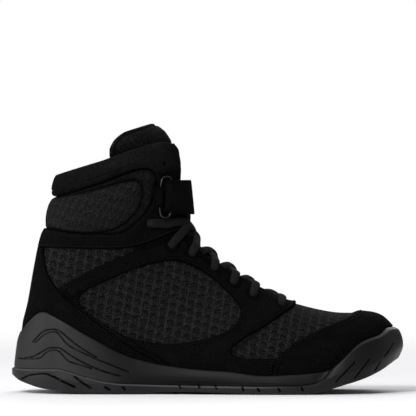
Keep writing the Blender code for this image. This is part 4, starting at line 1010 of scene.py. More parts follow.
# Twisted sewing thread
def thread_material(name, colour):
    material, tree, shader = start_material(name, colour, 0.8, 0.1)
    place = object_place(tree)
    twist = add_node(tree, "ShaderNodeTexWave", {"Vector": place, "Scale": 900.0, "Distortion": 2.0},
                     bands_direction="DIAGONAL").outputs["Fac"]
    tree.links.new(tone_ramp(tree, twist, colour, 0.7, 1.2), shader.inputs["Base Color"])
    return material


# Drawn wire with a dark plated face
def wire_material(name, colour):
    material, tree, shader = start_material(name, colour, 0.3, 0.5)
    shader.inputs["Metallic"].default_value = 1.0
    scratch = noise(tree, object_place(tree), 600.0, 3.0)
    tree.links.new(remap(tree, scratch, 0.0, 1.0, 0.2, 0.4), shader.inputs["Roughness"])
    return material


# One material of each finish, made when it is first asked for
def finish(name):
    if name in bpy.data.materials:
        return bpy.data.materials[name]
    tone = colours()
    cell = sizes().mesh_cell / MM
    row = sizes().mesh_row / MM
    makers = {
        "shoe_suede": lambda: suede_material(name, tone.suede),
        "shoe_cuff": lambda: suede_material(name, tone.suede, lines=(), edge_shade_tone=0.12, top_light_height=0.165),
        "shoe_strap": lambda: suede_material(name, tone.strap, specular=0.05, lines=(1.5,), edge_shade_tone=0.5),
        "shoe_mesh": lambda: mesh_material(name, tone.mesh, cell, row, contrast=1.5),
        "shoe_pad_mesh": lambda: mesh_material(name, tone.pad, cell, row, contrast=0.8),
        "shoe_tongue_face": lambda: mesh_material(name, tone.tongue, cell=3.4, row=3.4, contrast=0.5),
        "shoe_lining": lambda: braid_material(name, tone.lining, yarn_length=1.6, yarn_width=0.8),
        "shoe_lace": lambda: braid_material(name, tone.lace, yarn_length=1.7, yarn_width=0.8),
        "shoe_midsole": lambda: rubber_material(name, tone.midsole, 0.5, 0.12, heel_highlight_gain=5.4, fore_light_gain=2.2),
        "shoe_outsole": lambda: rubber_material(name, tone.outsole, 0.45, 0.28, joint_highlight_gain=14.0),
        "shoe_thread": lambda: thread_material(name, tone.thread),
        "shoe_wire": lambda: wire_material(name, tone.wire),
    }
    return makers[name]()


# Cross-section of a cord or band as shares of its half width and half height
def round_section(sides, power):
    turn = np.linspace(0.0, FULL_CIRCLE, sides + 1) - math.pi / 2.0
    wide = np.sign(np.cos(turn)) * np.abs(np.cos(turn)) ** (2.0 / power)
    tall = np.sign(np.sin(turn)) * np.abs(np.sin(turn)) ** (2.0 / power)
    return np.stack((wide, tall), axis=1)


# Sweeps a section along a path, both in table millimetres; lean shears an upright band
def swept(name, path, outward, half_width, half_height, section, closed=False, lean=0.0):
    path = np.asarray(path, dtype=float)
    count = len(path)
    if closed:
        run = np.roll(path, -1, axis=0) - np.roll(path, 1, axis=0)
    else:
        run = np.gradient(path, axis=0)
    run = unit(run)
    out = np.asarray(outward, dtype=float)
    out = unit(out - run * (out * run).sum(axis=1, keepdims=True))
    across = np.cross(run, out)
    wide = np.broadcast_to(half_width, count)
    tall = np.broadcast_to(half_height, count)
    lean = np.broadcast_to(lean, count)
    length = running_length(np.concatenate((path, path[:1])))
    girth = running_length(section * (wide.max(), tall.max()))
    columns = count if closed else count - 1
    sides = len(section) - 1
    piece = start_grid(name, columns, sides)
    work = bmesh.new()
    work.from_mesh(piece.data)
    cloth_layer = work.verts.layers.float_vector.new("cloth")
    edge_layer = work.verts.layers.float.new("edge")
    for vertex in work.verts:
        step = round((vertex.co.x + 0.5) * columns)
        turn = round((vertex.co.y + 0.5) * sides)
        here = step % count
        aside, above = section[turn]
        spot = path[here] + across[here] * aside * wide[here] + out[here] * above * tall[here]
        spot[0] -= lean[here] * (spot[2] - path[here][2])
        vertex.co = spot * MM - TABLE_MIDDLE
        vertex[cloth_layer] = (length[step], girth[turn], 0.0)
        vertex[edge_layer] = (1.0 - abs(aside)) * wide[here]
    bmesh.ops.remove_doubles(work, verts=work.verts, dist=FINE_MERGE)
    if not closed:
        rims = [edge for edge in work.edges if len(edge.link_faces) == 1]
        bmesh.ops.holes_fill(work, edges=rims, sides=0)
    bmesh.ops.recalc_face_normals(work, faces=work.faces[:])
    work.to_mesh(piece.data)
    work.free()
    return piece


# Joins pieces into the first of them
def joined(pieces):
    bpy.ops.object.select_all(action="DESELECT")
    for piece in pieces:
        piece.select_set(True)
    bpy.context.view_layer.objects.active = pieces[0]
    if len(pieces) > 1:
        bpy.ops.object.join()
    return pieces[0]


TOE_BORDER = near_side(stroke_points(TOE_GUARD))
FOXING_BORDER = near_side(stroke_points(HEEL_FOXING))
COLLAR_BORDER = near_side(stroke_points(COLLAR_FRAME))
PAD_BORDER = near_side(stroke_points(PAD_WINDOW))
CROWN_BORDER = near_side(stroke_points(PAD_CROWN))
SADDLE_BORDER = near_side(stroke_points(SADDLE))
QUARTER_BORDER = near_side(stroke_points(QUARTER_WINDOW))
HEEL_BORDER = near_side(stroke_points(HEEL_WINDOW))
SEAM_LINE = near_side(stroke_points((EYESTAY_SEAM,), closed=False))
HALF_TURN = math.pi - 0.02
SIDE_VIEW = (0, 2)


# Distance above the sole's rim, steep so that the panels' lower edges stay square
def above_rim(points):
    steepness = 6.0
    return (points[:, 2] - rim_heights(points) - 0.1) * steepness


# Share of a panel's thickness at a distance from its raw edge
def edge_share(depth):
    return 0.25 + 0.75 * rounded(depth, 1.0)


# Even thickness of an overlay, rounded at its edges and thinner where it tucks into the sole
def overlay_lift(row, turn, depth, points):
    thin = 0.62 + 0.38 * ease(points[:, 2] - rim_heights(points), 0.0, 7.0)
    return GAP + sizes().overlay / MM * thin * edge_share(depth)


# The saddle's thickness, with a ridge where its eyestay is folded under
def saddle_lift(row, turn, depth, points):
    ridge = 0.55 * np.exp(-(line_distance(points[:, SIDE_VIEW], SEAM_LINE) / 0.8) ** 2)
    return overlay_lift(row, turn, depth, points) + ridge


# Padded cuff above the ankle pad with a sewn trough near its lower edge, and plain thickness elsewhere
def collar_lift(row, turn, depth, points):
    plain = sizes().overlay / MM
    side = points[:, SIDE_VIEW]
    from_pad = -depth_inside(side, PAD_BORDER)
    cuff_line = 143.0 + (points[:, 0] - 30.0) * 0.31
    upward = ease(points[:, 2] - cuff_line, -2.0, 3.0)
    sideways = 0.77 + 0.23 * np.abs(np.sin(turn))
    cuff = sizes().cuff_swell / MM * sideways * rounded(from_pad + 0.8, CUFF_RISE)
    cuff *= rounded(opening_depth(row, turn, points), CUFF_ROLL)
    cuff *= rounded(depth_inside(side, COLLAR_BORDER), CUFF_FOOT)
    trough = 0.7 * np.exp(-((from_pad - CUFF_TROUGH) / 0.8) ** 2)
    cuff -= trough * (1.0 - ease(points[:, 0], 92.0, 104.0))
    swell = plain + np.maximum(cuff - plain, -0.5) * upward
    return GAP + swell * edge_share(depth)


# Crowned pad inside a rolled piping that tapers along its top and bottom
def pad_lift(row, turn, depth, points):
    inside = depth_inside(points[:, SIDE_VIEW], CROWN_BORDER)
    outer = np.maximum(depth, 0.0)
    width = outer + np.maximum(-inside, 0.0)
    share = outer / np.maximum(width, 0.05)
    half_round = np.sqrt(np.clip(1.0 - (2.0 * share - 1.0) ** 2, 0.0, 1.0))
    piping = 0.44 * width * half_round * (inside < 0.0)
    crown = sizes().pad_swell / MM * rounded(inside, PAD_RISE)
    return GAP + 0.25 + np.maximum(crown, piping)


# Running length round a section from a given turn
def around_length(row, turn, start):
    length = np.zeros(len(row))
    before = last_points(row, np.full(len(row), start))
    for share in np.linspace(0.0, 1.0, 25)[1:]:
        spot = last_points(row, start + (turn - start) * share)
        length += np.linalg.norm(spot - before, axis=1)
        before = spot
    return length * np.sign(turn - start)


# Cloth of the vamp runs across the toes, and cloth of the sides runs in side view
def upper_cloth(row, turn, points):
    vamp_line = 160.0 + (points[:, 2] - 25.0) * 1.21
    across = around_length(row, turn, math.pi)
    upright = np.where(points[:, 0] > vamp_line, across, points[:, 2])
    return np.stack((points[:, 0], upright, np.full(len(row), NO_GROOVE)), axis=1)


# Cloth of the pad runs round the ankle. Its third number, the distance from the piping's groove, paints shade
# into that groove, and holds the piping dark, partly the piping's own darker tone and partly painted shade
# under the cuff towards the back
def pad_cloth(row, turn, points):
    inside = depth_inside(points[:, SIDE_VIEW], CROWN_BORDER)
    piping = np.minimum(-inside, 0.65 + 0.5 * ease(points[:, 0], 85.0, 104.0))
    groove = np.where(inside < 0.0, piping, inside)
    upright = points[:, 2] - 0.3 * points[:, 0]
    return np.stack((around_length(row, turn, 0.0), upright, groove), axis=1)


FULL_TURN = np.linspace(0.0, FULL_CIRCLE, 161)
SHAFT_TURN = np.linspace(-HALF_TURN, HALF_TURN, 261)


def length_property(name, description, value):
    return FloatProperty(name=name, description=description, default=value, unit="LENGTH")


def colour_property(name, description, value):
    return FloatVectorProperty(name=name, description=description, default=(value, value, value * 1.02),
                               subtype="COLOR", min=0.0, max=1.0)


class ShoeSizes(bpy.types.PropertyGroup):
    """Sizes of the shoe's panels, padding, laces and stitches"""
    overlay: length_property("Overlay", "Thickness of a suede overlay", 0.0018)
    pad_swell: length_property("Pad", "Height of the ankle pad's crown", 0.0052)
    cuff_swell: length_property("Cuff", "Height of the padded cuff", 0.0060)
    window_puff: length_property("Puff", "Crown of the mesh inside the windows", 0.0005)
    mesh_cell: length_property("Mesh cell", "Width of one cell of the knit", 0.0065)
    mesh_row: length_property("Mesh row", "Height of one row of the knit", 0.0064)
    lace_width: length_property("Lace width", "Width of the flat lace", 0.0070)
    lace_height: length_property("Lace height", "Thickness of the flat lace", 0.0034)
    stitch_pitch: length_property("Stitch pitch", "Distance from stitch to stitch", 0.0021)
    stitch_length: length_property("Stitch", "Visible length of one stitch", 0.0011)
    bumper_step: length_property("Bumper step", "Rise of the outsole's edge over the midsole", 0.0017)
    camera_distance: length_property("Camera", "Distance of the camera from the shoe", 3.0)
    view_width: length_property("View", "Width that the camera sees at the shoe", 0.3195)


class ShoeColours(bpy.types.PropertyGroup):
    """Colours of the shoe's finishes"""
    suede: colour_property("Suede", "Overlays, cuff and facing", 0.0022)
    mesh: colour_property("Mesh", "Knit of the upper", 0.0094)
    pad: colour_property("Pad", "Knit of the ankle pad", 0.0098)
    lining: colour_property("Lining", "Inside of the shoe", 0.006)
    tongue: colour_property("Tongue", "Face of the tongue", 0.0068)
    lace: colour_property("Lace", "Flat lace", 0.008)
    strap: colour_property("Strap", "Ankle strap and ring tab", 0.0021)
    midsole: colour_property("Midsole", "Moulded cup", 0.0038)
    outsole: colour_property("Outsole", "Outsole and toe bumper", 0.0034)
    thread: colour_property("Thread", "Sewing thread", 0.0065)
    wire: colour_property("Wire", "Strap ring", 0.07)
    floor: colour_property("Floor", "Studio floor", 0.9)


class SHOE_OT_upper(bpy.types.Operator):
    """Knitted upper with its lining, open at throat and collar"""
    bl_idname = "shoe.upper"
    bl_label = "Upper"

    def execute(self, context):
        def depth_of(row, turn, points):
            underside = np.abs(np.mod(turn + math.pi, FULL_CIRCLE) - math.pi)
            closed_by_sole = (row > ROW["toe"]) & (row < ROW["ankle_bend"]) & (underside < 0.5)
            depth = opening_depth(row, turn, points) - KNIT_INSET
            depth = np.minimum(depth, eyelet_depth(points, KNIT_EYELET_RADIUS))
            return np.where(closed_by_sole, CUT_AWAY, depth)

        def lift_of(row, turn, depth, points):
            side = points[:, SIDE_VIEW]
            inside = np.maximum(depth_inside(side, QUARTER_BORDER), depth_inside(side, HEEL_BORDER))
            return sizes().window_puff / MM * rounded(inside, WINDOW_RISE)

        rows = spaced((0.0, 4.0, 26), (4.0, 13.0, 110), (13.0, 21.3, 66))
        upper = lasted_panel("upper_knit", rows, FULL_TURN, depth_of, lift_of, -WALL, (0.0,), upper_cloth)
        settle(upper, finish("shoe_mesh"), "mesh", "upper")
        return {"FINISHED"}


class SHOE_OT_overlays(bpy.types.Operator):
    """Suede toe guard, saddle of eyestay and side bands with a window on each side, and heel foxing"""
    bl_idname = "shoe.overlays"
    bl_label = "Suede overlays"

    def execute(self, context):
        def guard_depth(row, turn, points):
            return np.minimum(depth_inside(points[:, SIDE_VIEW], TOE_BORDER), above_rim(points))

        def saddle_depth(row, turn, points):
            side = points[:, SIDE_VIEW]
            depth = depth_inside(side, SADDLE_BORDER)
            for border, gap in ((TOE_BORDER, GAP), (FOXING_BORDER, GAP), (COLLAR_BORDER, GAP),
                                (QUARTER_BORDER, 0.0), (HEEL_BORDER, 0.0)):
                depth = np.minimum(depth, -depth_inside(side, border) - gap)
            depth = np.minimum(depth, throat_depth(row, turn, points))
            depth = np.minimum(depth, eyelet_depth(points, EYELET_RADIUS))
            return np.minimum(depth, above_rim(points))

        def foxing_depth(row, turn, points):
            return np.minimum(depth_inside(points[:, SIDE_VIEW], FOXING_BORDER), above_rim(points))

        overlays = (
            ("toe_guard", spaced((0.0, 1.0, 14), (1.0, 6.8, 80)), np.linspace(0.3, FULL_CIRCLE - 0.3, 201),
             guard_depth, overlay_lift),
            ("saddle", spaced((5.9, 13.0, 190), (13.0, 18.6, 70)), np.linspace(0.25, FULL_CIRCLE - 0.25, 301),
             saddle_depth, saddle_lift),
            ("heel_foxing", spaced((9.0, 13.0, 90), (13.0, 18.6, 70)), np.linspace(-2.6, 2.6, 261),
             foxing_depth, overlay_lift),
        )
        for node, rows, turns, depth_of, lift_of in overlays:
            panel = lasted_panel(f"{node}_suede", rows, turns, depth_of, lift_of, GAP)
            settle(panel, finish("shoe_suede"), "suede", node)
        return {"FINISHED"}


class SHOE_OT_collar(bpy.types.Operator):
    """Suede cuff, facing and ankle band in one, and the padded roll inside its window"""
    bl_idname = "shoe.collar"
    bl_label = "Collar"

    def execute(self, context):
        def collar_depth(row, turn, points):
            side = points[:, SIDE_VIEW]
            depth = np.minimum(depth_inside(side, COLLAR_BORDER), -depth_inside(side, PAD_BORDER) - PAD_PLAY)
            depth = np.minimum(depth, opening_depth(row, turn, points))
            depth = np.minimum(depth, np.hypot(*(side - CUFF_HOLE).T) - CUFF_HOLE_RADIUS)
            return np.minimum(depth, eyelet_depth(points, EYELET_RADIUS))

        def pad_depth(row, turn, points):
            return depth_inside(points[:, SIDE_VIEW], PAD_BORDER) - PAD_PLAY

        def collar_floor(row, points):
            return np.where(rim_depth(row, points) < 0.3, -WALL, GAP)

        rows = spaced((11.0, 15.0, 70), (15.0, 21.3, 178))
        collar = lasted_panel("collar_suede", rows, SHAFT_TURN, collar_depth, collar_lift, collar_floor)
        # Distance from the collar's lower edge and the pad's window only, for the painted edge shade, so the
        # rim stays unshaded
        side = (np.array([vertex.co for vertex in collar.data.vertices]) + TABLE_MIDDLE)[:, SIDE_VIEW] / MM
        shaded_edge_depth = np.minimum(depth_inside(side, COLLAR_BORDER), -depth_inside(side, PAD_BORDER))
        collar.data.attributes["edge"].data.foreach_set("value", np.maximum(shaded_edge_depth, 0.0))
        settle(collar, finish("shoe_cuff"), "suede", "collar_frame")
        pad = lasted_panel("ankle_pad_knit", rows, SHAFT_TURN, pad_depth, pad_lift, GAP, (0.0, 0.5, 1.2),
                           pad_cloth)
        settle(pad, finish("shoe_pad_mesh"), "mesh", "ankle_pad")
        return {"FINISHED"}


class SHOE_OT_tongue(bpy.types.Operator):
    """Padded tongue that wraps the front of the ankle, and the sock liner"""
    bl_idname = "shoe.tongue"
    bl_label = "Tongue and insole"

    def execute(self, context):
        table = np.array(TONGUE)
        mean_radius = 30.0
        row_height = 15.0
        seam_depth = 3.2

        def columns_at(row):
            return [np.interp(row, table[:, 0], column) for column in table.T[1:]]

        def edge_of(row, share):
            wrap = columns_at(row)[0]
            aside = (1.0 - np.abs(share)) * np.radians(wrap) * mean_radius
            above = (TONGUE[-1].section - row) * row_height
            return round_corner(aside, above, 11.0)

        def place_of(row, share, depth):
            wrap, thickness, lean = columns_at(row)
            turn = math.pi + np.radians(wrap) * share
            points = last_points(row, turn)
            normals = last_normals(row, turn)
            half = thickness / 2.0 * (1.0 - 0.55 * np.abs(share) ** 4)
            middle = WALL + 2.0 * GAP + lean + half
            close = np.maximum(rounded(depth, TONGUE_ROLL), 0.05)
            seam = np.exp(-((depth - seam_depth) / 0.7) ** 2)
            front = points - normals * (middle - half * close + seam)[:, None]
            back = points - normals * (middle + half * close)[:, None]
            aside = np.radians(wrap) * share * mean_radius
            # Third number of the tongue's cloth: painted shade along the seam trough, dark stripes either
            # side of the middle, and a painted shadow band where the tongue passes under the cuff's rim; none
            # below the cuff
            channel = np.maximum(np.abs(np.abs(aside) - 10.5) - 2.5, 0.0)
            groove = np.minimum(np.abs(depth - seam_depth) * 1.4, channel)
            groove = np.minimum(groove, 0.2 + np.maximum(row - ROW["collar"] - 0.02, 0.0) * 5.0)
            cloth = np.stack((aside, row * row_height, np.where(row < ROW["cuff"], 2.0, groove)), axis=1)
            return front, back, cloth

        rows = spaced((6.0, 19.0, 90), (19.0, 22.0, 60))
        shares = np.linspace(-1.0, 1.0, 121)
        tongue = shaped_skin("tongue_pad", rows, shares, edge_of, place_of, (0.0, 0.8))
        settle(tongue, finish("shoe_tongue_face"), "lining", "tongue", crease=80.0)

        seat = np.array([(row.sole_x, row.sole_z) for row in LAST[:ROW["heel_low"]]])[::-1]

        def board_edge(x, share):
            return 1.0 - np.abs(share)

        def board_place(x, share, depth):
            z = np.interp(x, seat[:, 0], seat[:, 1]) + WALL + BOARD_RISE
            low, high = last_widths(x, z)
            low = low + WALL + BOARD_PLAY
            high = high - WALL - BOARD_PLAY
            points = np.stack((x, (low + high) / 2.0 + (high - low) / 2.0 * share, z), axis=1)
            return points, points - (0.0, 0.0, BOARD_THICKNESS), points

        lengths = np.linspace(12.5, 284.0, 70)
        widths = np.linspace(-1.0, 1.0, 21)
        board = shaped_skin("insole_board", lengths, widths, board_edge, board_place, (-1.0,))
        settle(board, finish("shoe_lining"), "lining", "insole")
        return {"FINISHED"}


JOINT_LINE = near_side([(row.x, row.joint) for row in SOLE][:21])
GROOVE_LINES = [
    groove._replace(points=near_side(stroke_points((groove.points,), 4, False))) for groove in GROOVES]


# Distance of side-view points below the joint of outsole and midsole, negative above it
def below_joint(points):
    near = line_distance(points, JOINT_LINE)
    joint = np.interp(points[:, 0], *JOINT_LINE.T)
    return np.where(points[:, 1] < joint, near, -near)


# Places of the sole's skin: loop runs 0 to 3 on the outer side and on to 6 on the inner side,
# level runs -1 to 0 under the sole and 0 to 1 up its wall; inset draws the wall in above the joint
def sole_places(loop, level, inset=0.0):
    points = np.zeros((len(loop), 3))
    back = np.zeros((len(loop), 3))
    for side in BOTH_SIDES:
        chosen = loop <= 3.0 if side == OUTER_SIDE else loop > 3.0
        q = np.where(loop <= 3.0, loop, 6.0 - loop)[chosen]
        step = level[chosen]
        origin, direction = sole_rays(q, side)
        reach, z = wall_places(q, step, side)
        foot = wall_places(q, np.zeros(len(q)), side)[1]
        top = wall_places(q, np.ones(len(q)), side)[1]
        x = origin[:, 0] + direction[:, 0] * reach
        view = np.stack((x, z), axis=1)
        sunk = np.zeros(len(q))
        for groove in GROOVE_LINES:
            slope = (1.0 - line_distance(view, groove.points) / groove.half) / GROOVE_SLOPE
            sunk = np.maximum(sunk, groove.depth * np.clip(slope, 0.0, 1.0))
        sunk += UNDER_BEVEL * (1.0 - rounded(z - foot, UNDER_BEVEL))
        toe = np.clip((x - 240.0) / 15.0, 0.0, 1.0)
        sunk += (1.3 - 0.7 * toe) * (1.0 - rounded(top - z, RIM_ROUND))
        sunk += TOE_CHAMFER * toe * np.clip(1.0 - (top - z) / RIM_ROUND, 0.0, 1.0)
        sunk += inset * plateau(x, WAIST_SPAN) * np.exp(-(np.minimum(below_joint(view), 0.0) / 5.0) ** 2)
        reach_wall = reach - sunk
        inner = np.clip(1.0 + step, 0.0, 1.0)
        reach_here = np.where(step < 0.0, reach_wall * inner, reach_wall)
        spot = origin + direction * reach_here[:, None]
        under = sole_heights(spot[:, 0])[0]
        height = np.where(step < 0.0, foot * inner ** 4 + under * (1.0 - inner ** 4), z)
        points[chosen] = np.column_stack((spot, height))
        behind = origin + direction * np.maximum(reach_here - SOLE_SKIN, 0.0)[:, None]
        inner_height = np.maximum(height, np.minimum(foot + SOLE_SKIN, top))
        lifted = np.where(step < 0.0, height + SOLE_SKIN, inner_height)
        back[chosen] = np.column_stack((behind, lifted))
    return points, back


# Distance to the nearest groove as a share of its half width
def groove_shares(loop, level):
    points = sole_places(loop, level)[0][:, SIDE_VIEW]
    share = np.full(len(loop), NO_GROOVE)
    for groove in GROOVE_LINES:
        share = np.minimum(share, line_distance(points, groove.points) / groove.half)
    return np.where(level > 0.0, share, NO_GROOVE)


# Distance from grooves and joint, as shares of their half width, for the rubber's painted shade
def groove_shade_cloth(loop, level, joint_share):
    share = np.minimum(groove_shares(loop, level), np.maximum(joint_share, 0.0))
    return np.stack((share, np.zeros(len(loop)), np.zeros(len(loop))), axis=1)


class SHOE_OT_sole(bpy.types.Operator):
    """Midsole cup and the outsole that wraps up over the toe"""
    bl_idname = "shoe.sole"
    bl_label = "Sole"

    def execute(self, context):
        levels = np.concatenate((np.linspace(-1.0, 0.0, 9)[:-1], np.linspace(0.0, 1.0, 66)))

        def outsole_depth(loop, level):
            points = sole_places(loop, level)[0]
            return np.where(level < 0.0, -CUT_AWAY, below_joint(points[:, SIDE_VIEW]) - GAP / 2.0)

        def midsole_depth(loop, level):
            points = sole_places(loop, level, WAIST_INSET)[0]
            return np.where(level < 0.0, CUT_AWAY, -below_joint(points[:, SIDE_VIEW]) - GAP / 2.0)

        def outsole_place(loop, level, depth):
            front, back = sole_places(loop, level)
            step = sizes().bumper_step / MM * np.clip(depth / BUMPER_EDGE, 0.0, 1.0) * (level >= 0.0)
            outward = front - back
            outward[:, 2] = 0.0
            size = np.linalg.norm(outward, axis=1, keepdims=True)
            front = front + outward / np.maximum(size, 1e-6) * step[:, None]
            return front, back, groove_shade_cloth(loop, level, np.full(len(loop), NO_GROOVE))

        def midsole_place(loop, level, depth):
            front, back = sole_places(loop, level, WAIST_INSET)
            # Painted shade along the joint as well as in the grooves
            return front, back, groove_shade_cloth(loop, level, depth / 0.5)

        half = spaced((0.0, 1.0, 70), (1.0, 2.0, 250), (2.0, 3.0, 90))
        stops = np.concatenate((half, 6.0 - half[::-1][1:]))
        outsole = shaped_skin("outsole_rubber", stops, levels, outsole_depth, outsole_place,
                              (0.0, BUMPER_EDGE), groove_shares, GROOVE_CUTS)
        settle(outsole, finish("shoe_outsole"), "outsole_rubber", "outsole", crease=40.0)
        midsole = shaped_skin("midsole_cup", stops, levels, midsole_depth, midsole_place, (0.0,),
                              groove_shares, GROOVE_CUTS)
        settle(midsole, finish("shoe_midsole"), "midsole_rubber", "midsole", crease=40.0)
        return {"FINISHED"}


# Turn of the last's top side at a distance across from its ridge
def turn_at_gap(row, distance, side):
    section = rows_at(LAST_NUMBERS, row)[0]
    half = section[OUTER] + section[RIDGE] if side == OUTER_SIDE else section[INNER] - section[RIDGE]
    across = min(abs(distance / half), 0.999)
    rise = (1.0 - across ** section[TOP_ROUND]) ** (1.0 / section[TOP_ROUND])
    turn = math.atan2(across, -rise)
    return turn if side == OUTER_SIDE else FULL_CIRCLE - turn


# Section row and turn of an eyelet
def eyelet_place(number, side):
    row, turn = surface_places(*np.array(EYELETS[number])[:, None], side)[:2]
    return row[0], turn[0] if side == OUTER_SIDE else FULL_CIRCLE + turn[0]


# Half width of the throat at a section row
def throat_gap(row):
    return rows_at(LAST_NUMBERS, row)[0][THROAT_GAP]


# Path on and under the last from rows of section, turn, height, half width and half height
def lace_strand(name, places, steps=30):
    rows = rows_at(places, np.linspace(0.0, len(places) - 1.0, steps + 1))
    points = last_points(rows[:, 0], rows[:, 1])
    normals = last_normals(rows[:, 0], rows[:, 1])
    path = points + normals * rows[:, 2:3]
    return swept(name, path, normals, rows[:, 3], rows[:, 4], round_section(16, 2.2))


class SHOE_OT_laces(bpy.types.Operator):
    """Flat lace that crosses the tongue between the eyelets, with a level bar at the top"""
    bl_idname = "shoe.laces"
    bl_label = "Laces"

    def execute(self, context):
        wide = sizes().lace_width / MM / 2.0
        tall = sizes().lace_height / MM / 2.0
        over = GAP + sizes().overlay / MM + tall - 0.8
        strands = []
        for number in range(len(EYELETS) - 1):
            for side, cross in ((OUTER_SIDE, -1.1), (INNER_SIDE, 1.2)):
                low_row, low_turn = eyelet_place(number, side)
                high_row, high_turn = eyelet_place(number + 1, -side)
                rise = high_row - low_row
                edge_row = low_row + 0.08 * rise
                near_row = low_row + 0.16 * rise
                far_row = low_row + 0.80 * rise
                edge_turn = turn_at_gap(edge_row, throat_gap(edge_row) + 1.0, side)
                near_turn = turn_at_gap(near_row, throat_gap(near_row) - 3.5, side)
                far_turn = turn_at_gap(far_row, throat_gap(far_row) - 1.5, -side)
                places = [(low_row - 0.03, low_turn - 0.03 * side, -1.8, wide * 0.75, tall * 0.8),
                          (low_row + 0.01 * rise, low_turn, over - 0.8, wide * 0.9, tall),
                          (edge_row, edge_turn, over, wide, tall),
                          (near_row, near_turn, over * 0.35, wide, tall),
                          (low_row + 0.45 * rise, math.pi, cross, wide, tall),
                          (far_row, far_turn, -3.2, wide, tall),
                          (high_row, high_turn, -3.9, wide * 0.8, tall)]
                strands.append(lace_strand(f"lace_{number}_{int(side)}", places))
        x, z = EYELETS[-1]
        bar_front = 128.5
        to_cuff = FAN_ROWS < ROW["cuff"]
        middle_row = np.interp(z - 5.0, FAN[to_cuff, TOP_Z], FAN_ROWS[to_cuff])
        half = []
        for share, height, width in ((-0.02, -1.2, wide * 0.85), (0.05, over - 0.2, wide * 0.92),
                                     (0.35, over, wide), (0.7, over + 0.2, wide)):
            row, turn = surface_places((x + (bar_front - x) * share,), (z + 0.6 * share,))[:2]
            half.append((row[0], turn[0], height, width, tall))
        bar = half + [(middle_row, math.pi, over - 1.7, wide, tall)]
        bar += [(row, FULL_CIRCLE - turn, *rest) for row, turn, *rest in reversed(half)]
        strands.append(lace_strand("lace_bar_flat", bar, 60))
        lace = joined(strands)
        lace.name = "lace_flat"
        nodes = ["lace_bar"] + [f"lace_cross_{number}" for number in range(1, 6)]
        settle(lace, finish("shoe_lace"), "cord", *nodes, crease=60.0)
        return {"FINISHED"}


# Plan line round the front of the shaft at the strap, with its outward directions and running length
def shaft_front():
    front = rows_at(LAST_NUMBERS, np.linspace(ROW["heel_seat"], ROW["cuff"], 60))[20:, TOP_X].max()
    share = np.linspace(1.0, 0.0, 24, endpoint=False)
    x = front - (front - SHAFT_BACK) * share ** 2
    lows = []
    highs = []
    for part in (-1.0, -0.5, 0.0, 0.5, 1.0):
        low, high = last_widths(x, np.full(len(x), STRAP_MIDDLE + part * STRAP_WIDTH / 2.0))
        lows.append(low)
        highs.append(high)
    outer = np.column_stack((x, np.min(lows, axis=0)))
    inner = np.column_stack((x, np.max(highs, axis=0)))
    line = np.concatenate((outer, inner[::-1]))
    run = running_length(line)
    even = np.linspace(0.0, run[-1], 81)
    line = np.column_stack((np.interp(even, run, line[:, 0]), np.interp(even, run, line[:, 1])))
    step = unit(np.gradient(line, axis=0))
    return line, np.column_stack((step[:, 1], -step[:, 0])), even


# Half turn of plan points round a leg of the ring, from its inner side to its outer side
def half_turn(centre, outward, away, radius):
    return [centre + radius * (away * math.sin(turn) - outward * math.cos(turn))
            for turn in np.linspace(0.0, math.pi, 13)]


# Upright band along a plan line, leaning more the further forward it lies
def upright_band(name, line, thickness, width, rise=0.0):
    line = np.array(line)
    run = np.gradient(line, axis=0)
    out = np.column_stack((run[:, 1], -run[:, 0], np.zeros(len(line))))
    path = np.column_stack((line, np.broadcast_to(STRAP_MIDDLE + rise, len(line))))
    lean = RING_SLOPE + (STRAP_SLOPE - RING_SLOPE) * ease(line[:, 0], RING_FRONT, RING_FRONT + 14.0)
    return swept(name, path, out, width / 2.0, thickness / 2.0, round_section(48, 7.0), lean=lean)


